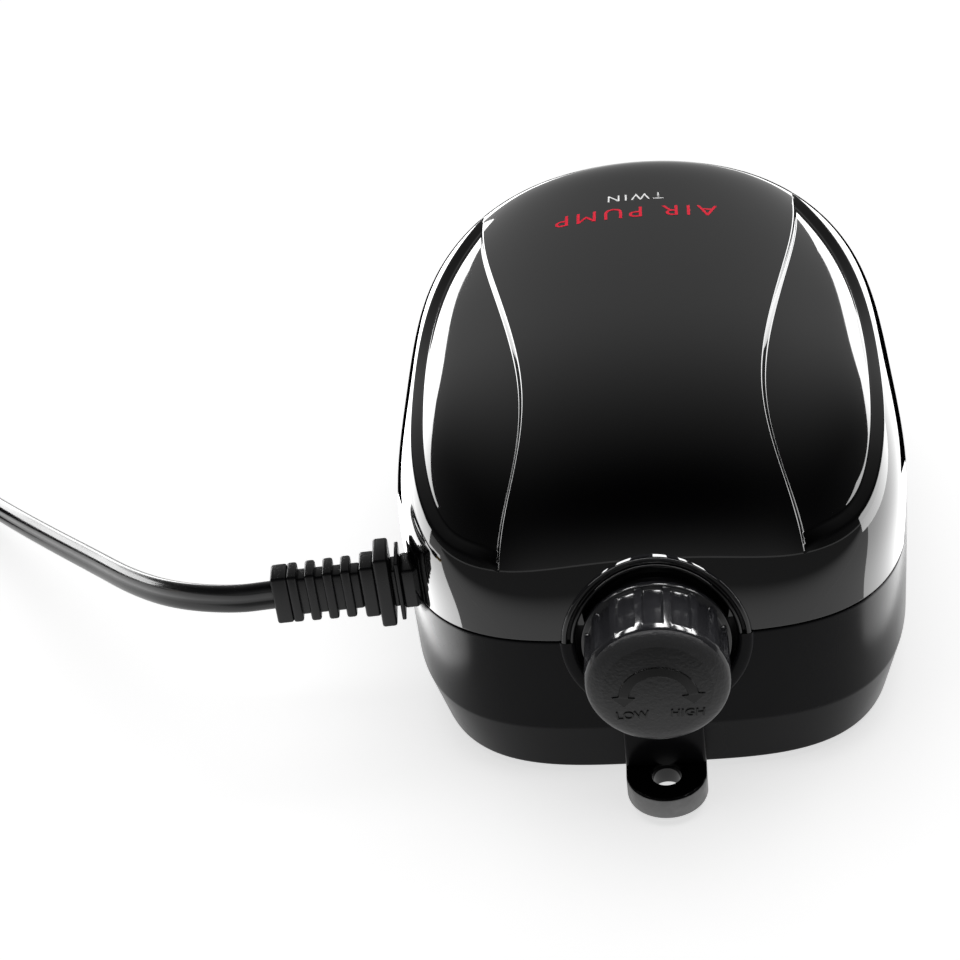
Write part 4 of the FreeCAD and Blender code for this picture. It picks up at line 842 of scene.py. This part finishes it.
def cord_section():
    """The hidden outline of the flat two-core cord, which the cord's curve sweeps."""
    flat = bpy.data.curves.new("cord_section", "CURVE")
    flat.dimensions = "2D"
    section = flat.splines.new("POLY")
    quarter = [(0.0, 1.18), (0.5, 1.3), (1.1, 1.46), (1.7, 1.46), (2.3, 1.3), (2.75, 0.9), (2.98, 0.35)]
    outline = {(a * across, b * along) for a, b in quarter for across in (1, -1) for along in (1, -1)}
    section.points.add(len(outline) - 1)
    for point, (a, b) in zip(section.points, sorted(outline, key=lambda p: math.atan2(p[1], p[0]))):
        point.co = (b * MM, a * MM, 0, 1)
    section.use_cyclic_u = True
    holder = bpy.data.objects.new("cord_section", flat)
    scene.collection.objects.link(holder)
    holder.hide_render = True
    holder.hide_viewport = True
    return holder

def build_cord():
    """The mains cord as one curve: strain relief, down to the floor, the coil and the plug."""
    curve = bpy.data.curves.new("mains_cord", "CURVE")
    curve.dimensions = "3D"
    curve.twist_mode = "Z_UP"
    curve.bevel_mode = "OBJECT"
    curve.bevel_object = cord_section()
    curve.use_fill_caps = True
    curve.resolution_u = 8
    spline = curve.splines.new("NURBS")
    route = [relief_point(RELIEF_LENGTH - 4), relief_point(RELIEF_LENGTH), *CORD_ROUTE, *coil_points(),
             *TAIL_ROUTE]
    spline.points.add(len(route) - 1)
    for point, place in zip(spline.points, route):
        point.co = (*[value * MM for value in place], 1)
    spline.order_u = 3
    spline.use_endpoint_u = True
    cord = bpy.data.objects.new("mains_cord", curve)
    scene.collection.objects.link(cord)
    finish_piece(cord, "cord_pvc", "root", "cord_pvc", "power_cord", "cord_coil", "cord_tail")


# Sections of the plug from the cord on: (distance, half width, half height).
PLUG_SECTIONS = (
    (-0.2, 2.2, 1.6), (0.0, 3.4, 2.4), (0.4, 3.8, 2.9), (1.6, 4.0, 3.1), (1.8, 3.5, 2.7), (2.8, 3.5, 2.7),
    (3.0, 4.2, 3.3), (4.4, 4.3, 3.4), (4.6, 3.8, 3.0), (5.6, 3.9, 3.0), (5.8, 4.6, 3.7), (7.2, 4.7, 3.8),
    (7.4, 4.2, 3.4), (8.4, 4.3, 3.5), (8.6, 5.0, 4.2), (10.0, 5.1, 4.4), (12.0, 6.4, 4.9), (14.0, 8.6, 5.6),
    (16.0, 10.3, 6.2), (18.0, 10.9, 6.45), (22.0, 11.0, 6.5), (28.0, 11.0, 6.5), (31.5, 11.0, 6.5),
    (33.0, 10.8, 6.3), (33.7, 10.4, 5.9), (34.0, 9.8, 5.3), (34.0, 6.0, 3.2), (34.0, 0.2, 0.1),
)
PLUG_TURN = math.radians(-70)

def build_plug():
    """Flat plug: rounded sections lofted along its length, with grip ribs on the neck."""
    around = 64
    angles = 2 * np.pi * np.arange(around) / around
    c, s = np.cos(angles), np.sin(angles)
    points = []
    for along, width, height in PLUG_SECTIONS:
        radius = ((np.abs(c) / width) ** 4 + (np.abs(s) / height) ** 4) ** -0.25
        points += zip(np.full(around, along), radius * c, radius * s)
    points = swung(np.array(points), PLUG_TURN, TAIL_ROUTE[-1])
    plug = mesh_piece("mains_plug", points, grid_faces(len(PLUG_SECTIONS), around, True), sharp=50)
    return finish_piece(plug, "cord_pvc", "root", "cord_pvc", "plug_body")

# ---------------------------------------------------------------- studio

def lit_only(*names):
    """A collection of pieces for a lamp to light on its own."""
    pieces = bpy.data.collections.new("lit_" + names[0])
    for name in names:
        pieces.objects.link(bpy.data.objects[name])
    return pieces


def glow(name, corners, strength, lit=None, front=None):
    """A panel seen only in reflections, clear to all but the pieces it lights when they are given.

    With a front value its light changes to that towards the front.
    """
    mesh = bpy.data.meshes.new(name)
    mesh.from_pydata([[v * MM for v in corner] for corner in corners], [], [tuple(range(len(corners)))])
    material = bpy.data.materials.new(name)
    material.use_nodes = True
    nodes, links = material.node_tree.nodes, material.node_tree.links
    nodes.clear()
    light = nodes.new("ShaderNodeEmission")
    light.inputs["Strength"].default_value = strength
    if front is not None:
        parts = nodes.new("ShaderNodeSeparateXYZ")
        links.new(nodes.new("ShaderNodeTexCoord").outputs["Object"], parts.inputs[0])
        fade = ramped(nodes, links, parts.outputs["Y"], -0.17, -0.1, front, strength)
        links.new(fade, light.inputs["Strength"])
    material.cycles.emission_sampling = "NONE"
    glowing = light.outputs[0]
    if lit is not None:
        both = nodes.new("ShaderNodeAddShader")
        links.new(glowing, both.inputs[0])
        links.new(nodes.new("ShaderNodeBsdfTransparent").outputs[0], both.inputs[1])
        glowing = both.outputs[0]
    links.new(glowing, nodes.new("ShaderNodeOutputMaterial").inputs["Surface"])
    mesh.materials.append(material)
    panel = bpy.data.objects.new(name, mesh)
    scene.collection.objects.link(panel)
    panel.visible_camera = False
    panel.visible_diffuse = False
    panel.visible_shadow = False
    if lit is not None:
        panel.light_linking.receiver_collection = lit


def chain(nodes, links, source, *steps):
    """Run a value through Math nodes; each step is (operation, constant)."""
    for operation, value in steps:
        node = nodes.new("ShaderNodeMath")
        node.operation = operation
        node.inputs[1].default_value = value
        links.new(source, node.inputs[0])
        source = node.outputs[0]
    return source


def ramped(nodes, links, source, start, end, low, high):
    """Smooth change from low to high while the source goes from start to end."""
    node = nodes.new("ShaderNodeMapRange")
    node.interpolation_type = "SMOOTHSTEP"
    for name, value in (("From Min", start), ("From Max", end), ("To Min", low), ("To Max", high)):
        node.inputs[name].default_value = value
    links.new(source, node.inputs["Value"])
    return node.outputs["Result"]


def build_floor():
    """The pale floor that everything stands on."""
    floor = mesh_piece("floor", [(-6000, -6000, 0), (6000, -6000, 0), (6000, 6000, 0), (-6000, 6000, 0)],
                       [(0, 1, 2, 3)])
    material, _, _, shader = shader_nodes("pale_floor")
    shader.inputs["Base Color"].default_value = (0.86, 0.86, 0.86, 1)
    shader.inputs["Roughness"].default_value = 0.9
    shader.inputs["Specular IOR Level"].default_value = 0.0
    shader.inputs["Emission Color"].default_value = (1, 1, 1, 1)
    shader.inputs["Emission Strength"].default_value = 0.68
    floor.data.materials.append(material)


def build_world():
    """Soft surroundings: darkest high in front, darker at the sides, brightest low behind."""
    world = bpy.data.worlds.new("studio")
    scene.world = world
    world.use_nodes = True
    nodes, links = world.node_tree.nodes, world.node_tree.links
    place = nodes.new("ShaderNodeTexCoord").outputs["Generated"]
    dark = nodes.new("ShaderNodeVectorMath")
    dark.operation = "DOT_PRODUCT"
    dark.inputs[1].default_value = (0.0, -math.cos(math.radians(67)), math.sin(math.radians(67)))
    links.new(place, dark.inputs[0])
    away = chain(nodes, links, dark.outputs["Value"], ("MULTIPLY", -1.0), ("ADD", 1.0), ("DIVIDE", 1.087),
                 ("POWER", 1.17), ("MULTIPLY", 0.57))
    parts = nodes.new("ShaderNodeSeparateXYZ")
    links.new(place, parts.inputs[0])
    side = chain(nodes, links, parts.outputs["X"], ("ABSOLUTE", 0.0))
    side = ramped(nodes, links, side, 0.3, 0.75, 1.0, 0.22)
    light = nodes.new("ShaderNodeMath")
    light.operation = "MULTIPLY"
    links.new(away, light.inputs[0])
    links.new(side, light.inputs[1])
    links.new(light.outputs[0], nodes["Background"].inputs["Strength"])
    nodes["Background"].inputs["Color"].default_value = (1, 1, 1, 1)


def soft_box(name, corner, size, radiance, lit):
    """A flat lamp facing down that lights only the pieces in a collection."""
    lamp = bpy.data.lights.new(name, "AREA")
    lamp.shape = "RECTANGLE"
    lamp.size, lamp.size_y = size[0] * MM, size[1] * MM
    lamp.energy = radiance * math.pi * lamp.size * lamp.size_y
    holder = bpy.data.objects.new(name, lamp)
    holder.location = ((corner[0] + size[0] / 2) * MM, (corner[1] + size[1] / 2) * MM, corner[2] * MM)
    scene.collection.objects.link(holder)
    holder.light_linking.receiver_collection = lit
    holder.light_linking.blocker_collection = lit


# Where the dark flags on the floor start, and for each side: its upright panel's x and top edge as
# (y, z), the start of its panel on the floor, and that panel's strength.
FLAG_START = 35
STUDIO_SIDES = (
    ("left", -330, ((0, 74), (40, 74), (60, 130), (170, 118), (320, 104), (400, 95), (480, 105), (560, 130),
                    (640, 160), (900, 160)), -70, 6.0),
    ("right", 330, ((-95, 112), (-90, 112), (-80, 160), (30, 160), (100, 138), (230, 104), (390, 80),
                    (480, 100), (560, 130), (640, 160), (900, 160)), -60, 3.2),
)


def build_studio():
    """The floor, the surroundings, the panels that the gloss reflects, and the lamps."""
    build_floor()
    build_world()
    shells = lit_only("cover_shell", "base_shell")
    lead = lit_only("mains_cord", "cord_relief", "cover_shell", "base_shell")
    for side, x, tops, start, light in STUDIO_SIDES:
        wall = [(x, y, z) for y, z in tops]
        glow("strip_" + side, [(x, tops[0][0], 1), *wall, (x, tops[-1][0], 1)], 7.0, lead)
        near, beside = x * 0.3, x * 0.2
        glow("sheet_" + side, [(near, 900, 2), (x, 900, 2), (x, start, 2), (beside, start, 2),
                               (beside, FLAG_START, 2), (near, FLAG_START, 2)], light, shells)
        glow("flag_" + side, [(x * 0.1, FLAG_START, 1), (x * 0.1, 400, 1), (near, 400, 1),
                              (near, FLAG_START, 1)], 0.0)
    glow("front_sheet", [(-1500, -100, 1), (1500, -100, 1), (1500, -1500, 1), (-1500, -1500, 1)], 1.0,
         front=0.22)
    dial = lit_only("dial_knob", "dial_arrow", "collar_upper", "collar_lower")
    for number, (x, wide) in enumerate(((-330, 50), (-200, 90), (10, 70), (150, 50), (250, 120))):
        soft_box("dial_strip_%d" % number, (x, -100, 300), (wide, 650), 26.0, dial)
    soft_box("dial_bar", (-500, -300, 250), (1000, 40), 9.0, dial)
    soft_box("print_box", (-150, 100, 300), (300, 300), 4.0, lit_only("print_name", "print_note"))
    lamp = bpy.data.lights.new("overhead", "AREA")
    lamp.size = 1.2
    lamp.energy = 6.0
    overhead = bpy.data.objects.new("overhead", lamp)
    overhead.location = (0.05, 0.1, 1.2)
    overhead.visible_glossy = False
    scene.collection.objects.link(overhead)
    scene.view_settings.view_transform = "Standard"


# ---------------------------------------------------------------- put together

def paint_frame():
    """Give every carried-over CAD node its slot's detailed material."""
    for entry in frame["record"]["subparts"]:
        node = frame["nodes"][entry["node"]]
        node.data.materials.clear()
        node.data.materials.append(MATERIALS[entry["material_slot"]])


aim_camera()
paint_frame()
relief_piece = build_relief()
plug_piece = build_plug()
build_cord()
build_cover()
build_base()
build_collar()
build_tab()
build_knob()
build_legends()
build_print()
build_outlets()
build_studio()
